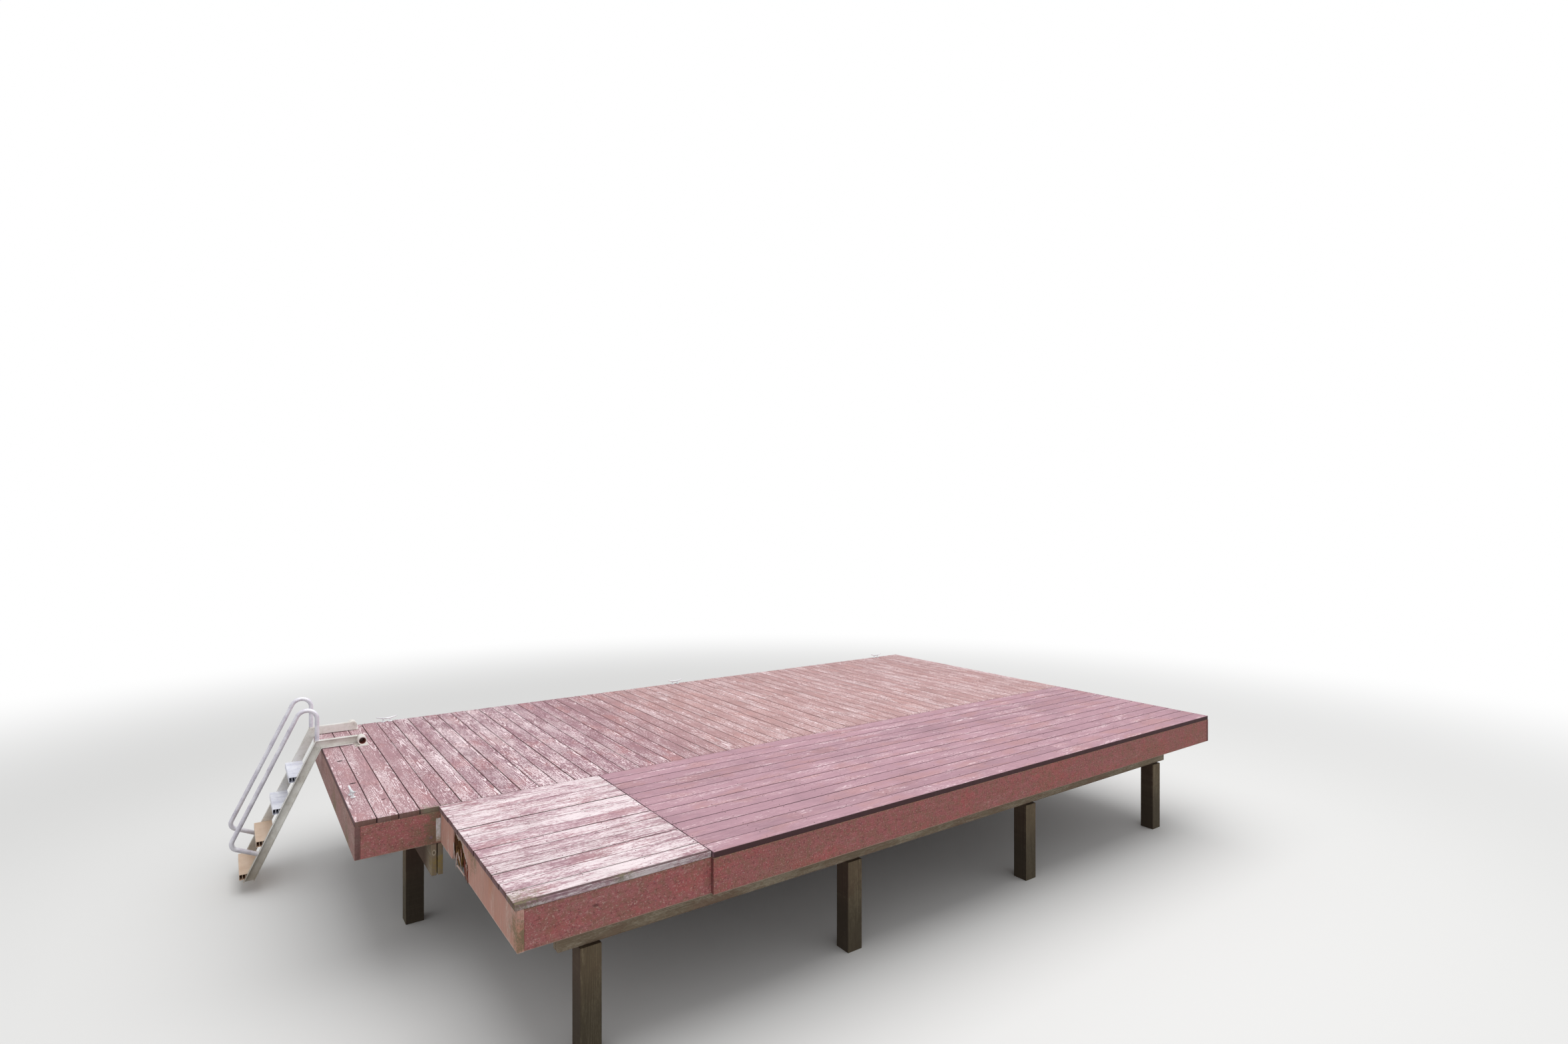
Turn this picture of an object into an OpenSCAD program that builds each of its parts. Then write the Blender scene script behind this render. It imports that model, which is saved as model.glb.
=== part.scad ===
// Timber jetty with a bank-side deck, a side platform and a flip-up ladder.
// Deck coordinates: X along the jetty, Y towards the river, Z up from the deck top.
// The origin of the part is the middle of its bounding box, at the feet of the posts.

/* [Deck] */
// Spacing of the deck boards across the outer deck
board_pitch = 144.8; // [140:0.1:150]
// Number of boards that make up the outer deck
board_count = 55; // [50:1:60]
// Width of the outer deck, towards the river
outer_w = 3000; // [2700:10:3300]
// Width of the inner deck, towards the bank
inner_w = 1888; // [1800:1:2000]
// Width of the side platform, towards the bank
platform_w = 1860; // [1800:1:1880]
// Place of the platform's left side along the deck
platform_x = 568; // [555:1:580]
// Length of the side platform along the jetty
platform_len = 1226; // [1150:1:1300]
// Overhang of the platform's boards past its skirt
platform_overhang = 14; // [5:1:20]
// Thickness of the deck boards
board_t = 38; // [32:1:45]

/* [Frame] */
// Thickness of rims, joists and beam plies
ply_t = 38; // [35:1:45]
// Depth of rims, joists and beam plies
ply_d = 235; // [220:1:250]
// Spacing of the joists
joist_pitch = 406; // [380:1:450]
// Gap between the two plies of a beam
ply_gap = 6; // [2:1:8]
// Side of the square posts
post_w = 140; // [120:1:150]
// Height of the deck top above the feet of the posts
deck_h = 1200; // [1180:1:1500]

/* [Ladder] */
// Slope of the ladder, in degrees from level
slope = 64.7; // [63:0.1:67]
// Place of the ladder's middle across the deck
ladder_y = 2507; // [2450:1:2560]
// Width of the ladder over its channels
ladder_w = 634; // [600:1:660]
// Depth of the channels
channel_d = 74; // [70:1:80]
// Width of the channel flanges
flange_w = 44; // [40:1:48]
// Thickness of the channel walls
channel_t = 4; // [3:0.5:6]
// Clearance under the arms and behind the stringers
ladder_gap = 6; // [5:1:10]
// Depth of a tread, front to back
tread_w = 142; // [130:1:150]
// Height of a tread
tread_h = 50; // [40:1:55]
// Rise from tread to tread
tread_rise = 263; // [250:1:280]
// Drop from the deck top to the first tread
tread_drop = 228; // [200:1:250]
// Outer diameter of the handrail tubes
rail_d = 38; // [34:1:42]

/* [Hinge] */
// Place of the hinge axis along the deck
hinge_x = 324; // [315:1:335]
// Outer diameter of the sleeve that lies on the base plate
sleeve_d = 78; // [70:1:80]
// Length of the sleeve
sleeve_len = 111; // [100:1:120]

/* [Fittings] */
// Length of a mooring cleat
cleat_len = 206; // [190:1:250]

/* [Hidden] */

// Finishes of the pieces
peeled_paint = "#b58e93";
red_paint = "#7d4a48";
dark_stain = "#6e4a42";
bare_timber = "#7a6550";
light_metal = "#d9d9dc";
zinc = "#aeb4b8";

// Main sizes that follow from the deck
deck_len = board_count * board_pitch;
inner_x = platform_x + platform_len;
frame_top = -board_t;
frame_bottom = frame_top - ply_d;
beam_bottom = frame_bottom - ply_d;
beam_w = 2 * ply_t + ply_gap;

// Beams and posts
beam_end_gap = 60;
left_beam_x = platform_x - 66;
right_beam_x = deck_len - 540;
beam_step = (right_beam_x - left_beam_x) / 3;
front_post_y = 900;
river_post_y = 2600;
bank_beam_y = -1560;
bank_beam_start = 900;
bank_beam_end = deck_len - 300;
bank_post_start = 1100;
bank_post_step = (bank_beam_end - 200 - bank_post_start) / 3;

// Ladder lines: u is along the stringer from the deck corner, v is out from the deck
channel_top = ladder_gap + channel_d;
tread_nose = 135;
rail_line = 315;
rail_leg_x = -38;
rail_top_r = 84;
rail_low_r = 60;
rail_low_u = 985;
rail_wall = 2.5;
stringer_foot = -1085;
rail_top_z = (rail_line - rail_top_r + sin(slope) * (rail_leg_x - rail_top_r)) / cos(slope);

// Hinge sizes: the sleeve is sunk into the plate by 1, and the arm's pin turns in it
sleeve_wall = 9.5;
pin_fit = 0.3;
pin_wall = 4;
pin_len = 50;
plate_t = 6;
plate_len = 112;
plate_w = 139;
plate_back = 62;
hinge_gap = 5;
hinge_z = plate_t + sleeve_d / 2 - 1;
bore_d = sleeve_d - 2 * sleeve_wall;

function ladder_x(u, v) = -cos(slope) * u - sin(slope) * v;
function line_x(v, z) = (cos(slope) * z - v) / sin(slope);

// Bounding box of the part in deck coordinates
low_x = ladder_x(rail_low_u - rail_low_r, rail_line - rail_low_r) - rail_low_r - rail_d / 2;
mid_x = (low_x + deck_len) / 2;
mid_y = (outer_w - inner_w) / 2;

module place() {
    translate([-mid_x, -mid_y, deck_h]) children();
}

module slab(x, y, z, size) {
    translate([x, y, z]) cube(size);
}

// Extrudes a shape drawn in X and Z along Y, from y0 to y1
module along_y(y0, y1) {
    translate([0, y1, 0]) rotate([90, 0, 0]) linear_extrude(y1 - y0) children();
}

// Extrudes a shape drawn in Y and Z along X, from x0 to x1
module along_x(x0, x1) {
    translate([x0, 0, 0]) rotate([90, 0, 90]) linear_extrude(x1 - x0) children();
}

module outer_decking() {
    color(peeled_paint) place() slab(0, 0, -board_t, [deck_len, outer_w, board_t]);
}

module inner_decking() {
    color(dark_stain) place()
        slab(inner_x, -inner_w, -board_t, [deck_len - inner_x, inner_w, board_t]);
}

module platform_decking() {
    color(peeled_paint) place()
        slab(platform_x - platform_overhang, -platform_w, -board_t,
            [platform_len + platform_overhang, platform_w, board_t]);
}

module front_fascia() {
    color(red_paint) place()
        slab(ply_t, 0, frame_bottom, [deck_len - 2 * ply_t, ply_t, ply_d]);
}

module river_fascia() {
    color(red_paint) place()
        slab(ply_t, outer_w - ply_t, frame_bottom, [deck_len - 2 * ply_t, ply_t, ply_d]);
}

module left_rim() {
    color(red_paint) place() slab(0, 0, frame_bottom, [ply_t, outer_w, ply_d]);
}

module right_rim() {
    color(red_paint) place() slab(deck_len - ply_t, 0, frame_bottom, [ply_t, outer_w, ply_d]);
}

module outer_joists() {
    count = floor((outer_w - 2 * ply_t) / joist_pitch);
    color(bare_timber) place()
        for (i = [1 : count])
            slab(ply_t, i * joist_pitch - ply_t / 2, frame_bottom,
                [deck_len - 2 * ply_t, ply_t, ply_d]);
}

module ledger() {
    x0 = platform_x + ply_t;
    color(bare_timber) place()
        slab(x0, -ply_t, frame_bottom, [deck_len - ply_t - x0, ply_t, ply_d]);
}

// Joists that run from the ledger to the rim on the bank side
module bank_side_joist(x, width) {
    slab(x, -width + ply_t, frame_bottom, [ply_t, width - 2 * ply_t, ply_d]);
}

module inner_joists() {
    count = floor((deck_len - inner_x - 2 * ply_t) / joist_pitch);
    color(bare_timber) place()
        for (i = [0 : count])
            bank_side_joist(inner_x + i * joist_pitch, inner_w);
}

module platform_joists() {
    color(bare_timber) place()
        for (x = [platform_x + joist_pitch, platform_x + 2 * joist_pitch, inner_x - ply_t])
            bank_side_joist(x, platform_w);
}

module inner_near_rim() {
    color(red_paint) place()
        slab(inner_x, -inner_w, frame_bottom, [deck_len - ply_t - inner_x, ply_t, ply_d]);
}

module inner_right_rim() {
    color(red_paint) place()
        slab(deck_len - ply_t, -inner_w, frame_bottom, [ply_t, inner_w, ply_d]);
}

module platform_near_rim() {
    x0 = platform_x + ply_t;
    color(red_paint) place()
        slab(x0, -platform_w, frame_bottom, [inner_x - x0, ply_t, ply_d]);
}

// Left side of the platform, rotted through between two torn edges
module platform_skirt() {
    sound_front = [[0, frame_top], [-402, frame_top], [-396, -83], [-388, -167],
        [-372, -225], [-354, frame_bottom], [0, frame_bottom]];
    sound_back = [[-440, frame_top], [-527, -66], [-601, -96], [-673, -108], [-706, -151],
        [-771, -171], [-808, -188], [-800, -230], [-779, frame_bottom],
        [-platform_w, frame_bottom], [-platform_w, frame_top]];
    rotten_core = [[-380, frame_top], [-360, -262], [-452, -240], [-527, -259], [-590, -246],
        [-655, -268], [-724, -251], [-815, -262], [-830, -120], [-720, frame_top]];
    core_recess = 14;
    color(red_paint) place() {
        along_x(platform_x, platform_x + ply_t) polygon(sound_front);
        along_x(platform_x, platform_x + ply_t) polygon(sound_back);
        along_x(platform_x + core_recess, platform_x + ply_t) polygon(rotten_core);
    }
}

// Beam of two plies that runs across under the outer deck
module cross_beam(x) {
    for (dx = [0, ply_t + ply_gap])
        slab(x + dx, 0, beam_bottom, [ply_t, outer_w - beam_end_gap, ply_d]);
}

module beam_left() {
    color(bare_timber) place() cross_beam(left_beam_x);
}

module beam_mid_left() {
    color(bare_timber) place() cross_beam(left_beam_x + beam_step);
}

module beam_mid_right() {
    color(bare_timber) place() cross_beam(left_beam_x + 2 * beam_step);
}

module beam_right() {
    color(bare_timber) place() cross_beam(right_beam_x);
}

module bank_beam() {
    color(bare_timber) place()
        for (dy = [0, ply_t + ply_gap])
            slab(bank_beam_start, bank_beam_y + dy, beam_bottom,
                [bank_beam_end - bank_beam_start, ply_t, ply_d]);
}

module post(x, y) {
    slab(x - post_w / 2, y - post_w / 2, -deck_h, [post_w, post_w, deck_h + beam_bottom]);
}

// The two posts that carry a cross beam
module post_pair(beam_x) {
    for (y = [front_post_y, river_post_y])
        post(beam_x + beam_w / 2, y);
}

module posts_left() {
    color(bare_timber) place() post_pair(left_beam_x);
}

module posts_mid_left() {
    color(bare_timber) place() post_pair(left_beam_x + beam_step);
}

module posts_mid_right() {
    color(bare_timber) place() post_pair(left_beam_x + 2 * beam_step);
}

module posts_right() {
    color(bare_timber) place() post_pair(right_beam_x);
}

module bank_posts() {
    color(bare_timber) place()
        for (i = [0 : 3])
            post(bank_post_start + i * bank_post_step, bank_beam_y + beam_w / 2);
}

// Zinc strap on the fascia, in the corner beside the skirt
module corner_strap() {
    strap_w = 32;
    strap_h = 172;
    strap_t = 3;
    color(zinc) place()
        slab(platform_x - strap_w - 2, -strap_t, -260, [strap_w, strap_t, strap_h]);
}

// Mooring cleat along X: a round bar, bent up towards its ends, on two legs
module cleat() {
    bar_r = 8;
    bar_z = 36;
    bar_rise = 21;
    leg_x = 34;
    leg_r = 7;
    foot_r = 19;
    foot_t = 5.5;
    half = cleat_len / 2;
    bend_r = (half * half + bar_rise * bar_rise) / (2 * bar_rise);
    bend = asin(half / bend_r);
    translate([0, 0, bar_z + bend_r]) rotate([90, 0, 0]) rotate([0, 0, 270 - bend])
        rotate_extrude(angle = 2 * bend, $fn = 180) translate([bend_r, 0]) circle(bar_r, $fn = 24);
    for (side = [-1, 1])
        translate([side * leg_x, 0, 0]) {
            cylinder(h = bar_z, r = leg_r, $fn = 24);
            cylinder(h = foot_t, r = foot_r, $fn = 32);
        }
}

module cleat_left() {
    color(zinc) place() translate([58, 610, 0]) rotate(96) cleat();
}

module river_cleat(x) {
    edge_gap = 35;
    color(zinc) place() translate([x, outer_w - edge_gap, 0]) cleat();
}

module cleat_river_left() {
    river_cleat(660);
}

module cleat_river_mid() {
    river_cleat(4040);
}

module cleat_river_right() {
    river_cleat(7510);
}

// Sides of the ladder: the near one faces the bank and the far one mirrors it
module near_side() {
    place() translate([0, ladder_y, 0]) children();
}

module far_side() {
    place() translate([0, ladder_y, 0]) mirror([0, 1, 0]) children();
}

// Planes across the ladder, from its middle
outer_face = -ladder_w / 2;
web_outer = outer_face + flange_w - channel_t;
web_inner = outer_face + flange_w;
rail_y = outer_face + flange_w / 2;
sleeve_end = web_outer - hinge_gap;

// Round bar or hole on the hinge axis, from y0 to y1
module on_axis(y0, y1, d) {
    along_y(y0, y1) translate([hinge_x, hinge_z]) circle(d = d, $fn = 64);
}

// Base plate on the deck with the open sleeve that lies across its inner half
module hinge_bracket() {
    sleeve_start = sleeve_end - sleeve_len;
    difference() {
        union() {
            slab(hinge_x - plate_back, sleeve_end - plate_w, 0, [plate_len, plate_w, plate_t]);
            on_axis(sleeve_start, sleeve_end, sleeve_d);
        }
        on_axis(sleeve_start - 1, sleeve_end + 1, bore_d);
    }
}

module hinge_bracket_near() {
    color(zinc) near_side() hinge_bracket();
}

module hinge_bracket_far() {
    color(zinc) far_side() hinge_bracket();
}

// Section of the channels: across the ladder, and away from the deck
module channel_section() {
    polygon([[outer_face, ladder_gap], [web_inner, ladder_gap], [web_inner, channel_top],
        [outer_face, channel_top], [outer_face, channel_top - channel_t],
        [web_outer, channel_top - channel_t], [web_outer, ladder_gap + channel_t],
        [outer_face, ladder_gap + channel_t]]);
}

// Half of space on one side of the mitre between arm and stringer
module mitre_side(side) {
    reach = 1500;
    rotate([0, -slope / 2, 0]) translate([side > 0 ? 0 : -reach, -reach / 2, -reach / 2])
        cube(reach);
}

// Level channel on the deck, from the mitre to the eye of its web, with the hinge pin.
// Its lower flange stops before the base plate, and its upper one before the sleeve.
module arm() {
    low_cut = plate_back + hinge_gap;
    flange_z = channel_top - channel_t;
    top_cut = sqrt(pow(sleeve_d / 2 + hinge_gap, 2) - pow(flange_z - hinge_z, 2)) + 1;
    reach = 100;
    pin_d = bore_d - 2 * pin_fit;
    eye_r = hinge_z - hinge_gap;
    difference() {
        along_x(-channel_d, hinge_x) channel_section();
        mitre_side(-1);
        slab(hinge_x - low_cut, outer_face - 1, 0,
            [reach, flange_w - channel_t + 1, ladder_gap + channel_t + 1]);
        slab(hinge_x - top_cut, outer_face - 1, flange_z - 1,
            [reach, flange_w - channel_t + 1, channel_d]);
    }
    on_axis(web_outer, web_inner, 2 * eye_r);
    difference() {
        on_axis(web_outer - pin_len, web_outer + 2, pin_d);
        on_axis(web_outer - pin_len - 1, web_outer, pin_d - 2 * pin_wall);
    }
}

module arm_near() {
    color(light_metal) near_side() arm();
}

module arm_far() {
    color(light_metal) far_side() arm();
}

// Turns the ladder's own directions into place: -Z runs down the slope, -X out from it
module on_slope() {
    rotate([0, 90 - slope, 0]) children();
}

// Plate with a round foot inside the knee, over the joint of arm and stringer
module knee_plate(y0) {
    knee_t = 4;
    knee_r = 28;
    knee_x = -34;
    knee_z = 12;
    along_y(y0, web_inner + knee_t) {
        translate([knee_x, knee_z]) circle(knee_r, $fn = 64);
        polygon([[knee_x - knee_r, knee_z], [knee_x + knee_r, knee_z], [knee_x + knee_r, 77],
            [-48, 77], [knee_x - knee_r, 50]]);
    }
}

// Sloping channel, from the mitre down to a foot that is cut level, with the knee plate
module stringer() {
    reach = 1300;
    plate_root = 2;
    difference() {
        union() {
            on_slope() translate([0, 0, -reach]) linear_extrude(reach + channel_d)
                rotate(90) channel_section();
            knee_plate(web_inner - plate_root);
        }
        mitre_side(1);
        slab(-reach, outer_face - 1, stringer_foot - reach, [2 * reach, flange_w + 2, reach]);
    }
    knee_plate(web_inner);
}

module stringer_near() {
    color(light_metal) near_side() stringer();
}

module stringer_far() {
    color(light_metal) far_side() stringer();
}

// Section of a handrail tube
module tube_section() {
    difference() {
        circle(d = rail_d, $fn = 32);
        circle(d = rail_d - 2 * rail_wall, $fn = 32);
    }
}

// Bend of tube in X and Z, from the +X side round towards +Z
module tube_bend(r, turn) {
    rotate([90, 0, 0]) rotate_extrude(angle = turn, $fn = 64) translate([r, 0]) tube_section();
}

// Upper part of a handrail: a leg on the arm and the bend over to the slope
module rail_bow() {
    translate([0, rail_y, 0]) {
        translate([rail_leg_x, 0, channel_top])
            linear_extrude(rail_top_z - channel_top) tube_section();
        translate([rail_leg_x - rail_top_r, 0, rail_top_z]) tube_bend(rail_top_r, 90 + slope);
    }
}

// Lower part of a handrail: the long run, a tight bend and the leg back to the stringer
module rail_run() {
    run_start = round(bow_end_u() * 10) / 10;
    run_end = rail_low_u - rail_low_r;
    bend_v = rail_line - rail_low_r;
    translate([0, rail_y, 0]) on_slope() {
        translate([-rail_line, 0, -run_end]) linear_extrude(run_end - run_start) tube_section();
        translate([-bend_v, 0, -run_end]) rotate([0, 180, 0]) tube_bend(rail_low_r, 90);
        translate([-bend_v, 0, -rail_low_u]) rotate([0, 90, 0])
            linear_extrude(bend_v - channel_top) tube_section();
    }
}

// Distance down the slope at which the upper bend ends
function bow_end_u() = -cos(slope) * (rail_leg_x - rail_top_r) - sin(slope) * rail_top_z;

module rail_bow_near() {
    color(light_metal) near_side() rail_bow();
}

module rail_bow_far() {
    color(light_metal) far_side() rail_bow();
}

module rail_run_near() {
    color(light_metal) near_side() rail_run();
}

module rail_run_far() {
    color(light_metal) far_side() rail_run();
}

// Tread: a level extrusion with hollow cells, and ribs with one wide groove on top.
// Its rear wall slopes with the stringers, so that nothing stands out behind them.
module tread(i) {
    wall = 3;
    rib_count = 15;
    groove_rib = 6;
    rib_h = 1.6;
    rib_w = 5;
    cells = 5;
    cell_w = 20;
    top = -tread_drop - i * tread_rise;
    low = top - tread_h;
    front = line_x(tread_nose, top);
    rib_step = (tread_w - rib_w) / (rib_count - 1);
    cell_step = cell_w + wall;
    last_x = front + wall + (cells - 1) * cell_step;
    function rear_x(z) = front + tread_w + (z - top) / tan(slope);
    function cell_rear(z) = rear_x(z) - wall / sin(slope);
    color(light_metal) near_side() along_y(web_inner, -web_inner) difference() {
        union() {
            polygon([[front, low], [rear_x(low), low], [rear_x(top - rib_h), top - rib_h],
                [front, top - rib_h]]);
            for (k = [0 : rib_count - 1])
                if (k != groove_rib)
                    translate([front + k * rib_step, top - rib_h - 1]) square([rib_w, rib_h + 1]);
        }
        for (k = [0 : cells - 2])
            translate([front + wall + k * cell_step, low + wall])
                square([cell_w, tread_h - rib_h - 2 * wall]);
        polygon([[last_x, low + wall], [cell_rear(low + wall), low + wall],
            [cell_rear(top - rib_h - wall), top - rib_h - wall], [last_x, top - rib_h - wall]]);
    }
}

module tread_1() {
    tread(0);
}

module tread_2() {
    tread(1);
}

module tread_3() {
    tread(2);
}

module tread_4() {
    tread(3);
}

outer_decking();
inner_decking();
platform_decking();
front_fascia();
river_fascia();
left_rim();
right_rim();
outer_joists();
ledger();
inner_joists();
platform_joists();
inner_near_rim();
inner_right_rim();
platform_near_rim();
platform_skirt();
beam_left();
beam_mid_left();
beam_mid_right();
beam_right();
bank_beam();
posts_left();
posts_mid_left();
posts_mid_right();
posts_right();
bank_posts();
corner_strap();
cleat_left();
cleat_river_left();
cleat_river_mid();
cleat_river_right();
hinge_bracket_near();
hinge_bracket_far();
arm_near();
arm_far();
stringer_near();
stringer_far();
rail_bow_near();
rail_bow_far();
rail_run_near();
rail_run_far();
tread_1();
tread_2();
tread_3();
tread_4();
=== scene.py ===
"""Weathered timber jetty with a flip-up bathing ladder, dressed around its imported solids."""

import math
import random

import bmesh
import bpy
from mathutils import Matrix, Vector, noise


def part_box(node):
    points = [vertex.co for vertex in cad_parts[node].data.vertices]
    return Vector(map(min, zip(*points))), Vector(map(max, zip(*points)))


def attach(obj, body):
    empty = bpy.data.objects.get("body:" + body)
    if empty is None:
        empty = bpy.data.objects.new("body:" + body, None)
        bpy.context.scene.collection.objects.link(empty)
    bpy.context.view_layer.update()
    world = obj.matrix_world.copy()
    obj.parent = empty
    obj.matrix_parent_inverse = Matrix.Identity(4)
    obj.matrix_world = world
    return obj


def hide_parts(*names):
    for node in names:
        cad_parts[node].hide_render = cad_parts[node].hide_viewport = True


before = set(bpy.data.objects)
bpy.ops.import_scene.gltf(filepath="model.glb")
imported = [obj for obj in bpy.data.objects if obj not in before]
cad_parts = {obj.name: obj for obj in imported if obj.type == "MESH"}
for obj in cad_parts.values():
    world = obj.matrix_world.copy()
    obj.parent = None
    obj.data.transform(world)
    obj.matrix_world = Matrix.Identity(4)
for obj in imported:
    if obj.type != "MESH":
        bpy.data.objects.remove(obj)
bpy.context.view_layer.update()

# Deck coordinates start at the near left corner of the outer deck's top
DECK_LOW, DECK_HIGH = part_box("outer_decking")
CORNER = Vector((DECK_LOW.x, DECK_LOW.y, DECK_HIGH.z))
OUTER_LENGTH = DECK_HIGH.x - DECK_LOW.x
OUTER_WIDTH = DECK_HIGH.y - DECK_LOW.y
BOARD_THICK = DECK_HIGH.z - DECK_LOW.z
UP = Vector((0.0, 0.0, 1.0))


def deck(x, y, z):
    """Point of the model's frame for a place in deck coordinates."""
    return CORNER + Vector((x, y, z))


def in_deck(point):
    """Deck coordinates of a point in the model's frame."""
    return Vector(point) - CORNER


INNER_LOW = in_deck(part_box("inner_decking")[0])
PLATFORM_LOW, PLATFORM_HIGH = [in_deck(corner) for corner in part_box("platform_decking")]
SKIRT_X, SKIRT_END, SKIRT_FOOT = in_deck(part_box("platform_skirt")[0])
RIM_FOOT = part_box("front_fascia")[0].z

# Camera, in deck coordinates, solved from the deck's two vanishing points
CAMERA_PLACE = deck(-0.75413, -6.26434, 2.09674)
CAMERA_AZIMUTH = math.radians(35.261)
CAMERA_LENS = 18.2532
SENSOR_WIDTH = 36.0

# Boards: counts, spacings and gaps, and how far their tops lie under the top of the solid decks
OUTER_ROWS = ((4, 0.1420), (4, 0.1476), (47, 0.1448))
OUTER_GAP = 0.0050
INNER_COUNT = 13
INNER_PITCH = -INNER_LOW.y / INNER_COUNT
INNER_GAP = 0.0045
PLATFORM_COUNT = 13
PLATFORM_PITCH = 0.1408
SUNK = 0.001
BOARD_MIDDLE = -BOARD_THICK / 2 - SUNK / 2

# Timbers: eased edges, how far a side strays, and the stations along them
EASE = 0.003
SLACK = 0.0008
STATION_STEP = 0.25
RIM_THICK = 0.038
JOIST_STEP = 0.406
OUTER_JOISTS = [i * JOIST_STEP for i in range(1, 8)]
INNER_JOISTS = [INNER_LOW.x + RIM_THICK / 2 + i * JOIST_STEP for i in range(15)]
PLATFORM_JOISTS = [SKIRT_X + RIM_THICK / 2 + i * JOIST_STEP for i in range(3)]

# Fasteners: screws each side of a board's middle, and the washer under every head
SCREW_INSET = 0.045
WASHER_HEIGHT = 0.002

# Ladder: hinge axis and slope, then distances from the middle of its width
HINGE = deck(0.324, 2.507, 0.044)
SLOPE = math.radians(64.7)
HALF_LADDER = 0.317
WEB_FACE = 0.277
RAIL_LINE = 0.295

# Top of the channels over the deck, and the handrails' legs past the deck's edge
CHANNEL_TOP = 0.080
RAIL_LEG = 0.038

dice = random.Random(1871)


# Node trees

def tone(code):
    """Linear colour of a hex code."""
    parts = [int(code[i:i + 2], 16) / 255 for i in (1, 3, 5)]
    return tuple(p / 12.92 if p <= 0.04045 else ((p + 0.055) / 1.055) ** 2.4 for p in parts) + (1.0,)


class Wire:
    """A node's output. Arithmetic with it adds Math nodes to its tree."""

    def __init__(self, desk, socket):
        self.desk = desk
        self.socket = socket

    def math(self, operation, *others):
        return self.desk.node("ShaderNodeMath", (self,) + others, operation=operation)[0]

    def __add__(self, other):
        return self.math("ADD", other)

    def __sub__(self, other):
        return self.math("SUBTRACT", other)

    def __mul__(self, other):
        return self.math("MULTIPLY", other)

    def __truediv__(self, other):
        return self.math("DIVIDE", other)

    def __pow__(self, other):
        return self.math("POWER", other)

    def under(self):
        """One minus this value."""
        return self.desk.node("ShaderNodeMath", (1.0, self), operation="SUBTRACT")[0]


class Outlets:
    """The outputs of a node, by name or number."""

    def __init__(self, desk, made):
        self.desk = desk
        self.made = made

    def __getitem__(self, key):
        return Wire(self.desk, self.made.outputs[key])


class Desk:
    """Adds nodes to one shader or geometry tree and joins them up."""

    def __init__(self, tree):
        self.tree = tree

    def feed(self, socket, value):
        """Joins a wire to a socket, or sets the socket to a plain value."""
        if isinstance(value, Wire):
            self.tree.links.new(value.socket, socket)
        else:
            socket.default_value = value

    def node(self, kind, inputs=(), **settings):
        made = self.tree.nodes.new(kind)
        for name, value in settings.items():
            setattr(made, name, value)
        pairs = inputs.items() if isinstance(inputs, dict) else enumerate(inputs)
        for key, value in pairs:
            self.feed(made.inputs[key], value)
        return Outlets(self, made)

    def geometry(self, kind, inputs, **settings):
        """First output of a new geometry node."""
        return self.node("GeometryNode" + kind, inputs, **settings)[0]

    def group(self, tree, inputs):
        return self.node("ShaderNodeGroup", inputs, node_tree=tree)

    def place(self):
        """Where a point of the surface lies in the model's frame."""
        return self.node("ShaderNodeTexCoord")["Object"]

    def attribute(self, name, output="Fac"):
        return self.node("ShaderNodeAttribute", attribute_name=name)[output]

    def vector(self, x, y, z):
        return self.node("ShaderNodeCombineXYZ", (x, y, z))[0]

    def vectors(self, operation, *inputs, output="Vector"):
        return self.node("ShaderNodeVectorMath", inputs, operation=operation)[output]

    def split(self, value):
        parts = self.node("ShaderNodeSeparateXYZ", (value,))
        return parts[0], parts[1], parts[2]

    def noise(self, place, scale=1.0, detail=2.0, rough=0.5):
        return self.node("ShaderNodeTexNoise", {"Vector": place, "Scale": scale, "Detail": detail,
                                                "Roughness": rough})[0]

    def ramp(self, value, low, high, start=0.0, end=1.0):
        """Smooth step of a value from start at low to end at high."""
        return self.node("ShaderNodeMapRange", (value, low, high, start, end),
                         interpolation_type="SMOOTHSTEP", clamp=True)[0]

    def fall(self, value, low, high):
        """Smooth step of a value from 1 at low to 0 at high."""
        return self.ramp(value, low, high, 1.0, 0.0)

    def cloud(self, place, low, high, scale=1.0, detail=2.0, rough=0.5):
        """Noise, stretched so that low becomes 0 and high becomes 1."""
        return self.ramp(self.noise(place, scale, detail, rough), low, high)

    def mix(self, share, first, second):
        """Blend of two colours, each a hex code or a wire."""
        pair = [tone(c) if isinstance(c, str) else c for c in (first, second)]
        return self.node("ShaderNodeMix", {0: share, 6: pair[0], 7: pair[1]}, data_type="RGBA")[2]

    def chance(self, seed, salt):
        """Random value from 0 to 1 that belongs to a seed."""
        return self.node("ShaderNodeTexWhiteNoise", {"W": seed * 977.0 + salt},
                         noise_dimensions="1D")["Value"]

    def any_of(self, low, high, seed):
        """Random value between two for every point or piece."""
        return self.node("FunctionNodeRandomValue", {2: low, 3: high, "Seed": seed}, data_type="FLOAT")[1]

    def bump(self, skin, strength, distance, height):
        """Gives a Principled node relief from a height."""
        made = self.node("ShaderNodeBump", {"Strength": strength, "Distance": distance, "Height": height})
        self.feed(skin.inputs["Normal"], made["Normal"])


class Coats:
    """A colour that is laid coat over coat."""

    def __init__(self, desk, first):
        self.desk = desk
        self.colour = first

    def lay(self, share, tint):
        """Covers a share of what is there with a tint."""
        self.colour = self.desk.mix(share, self.colour, tint)


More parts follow.
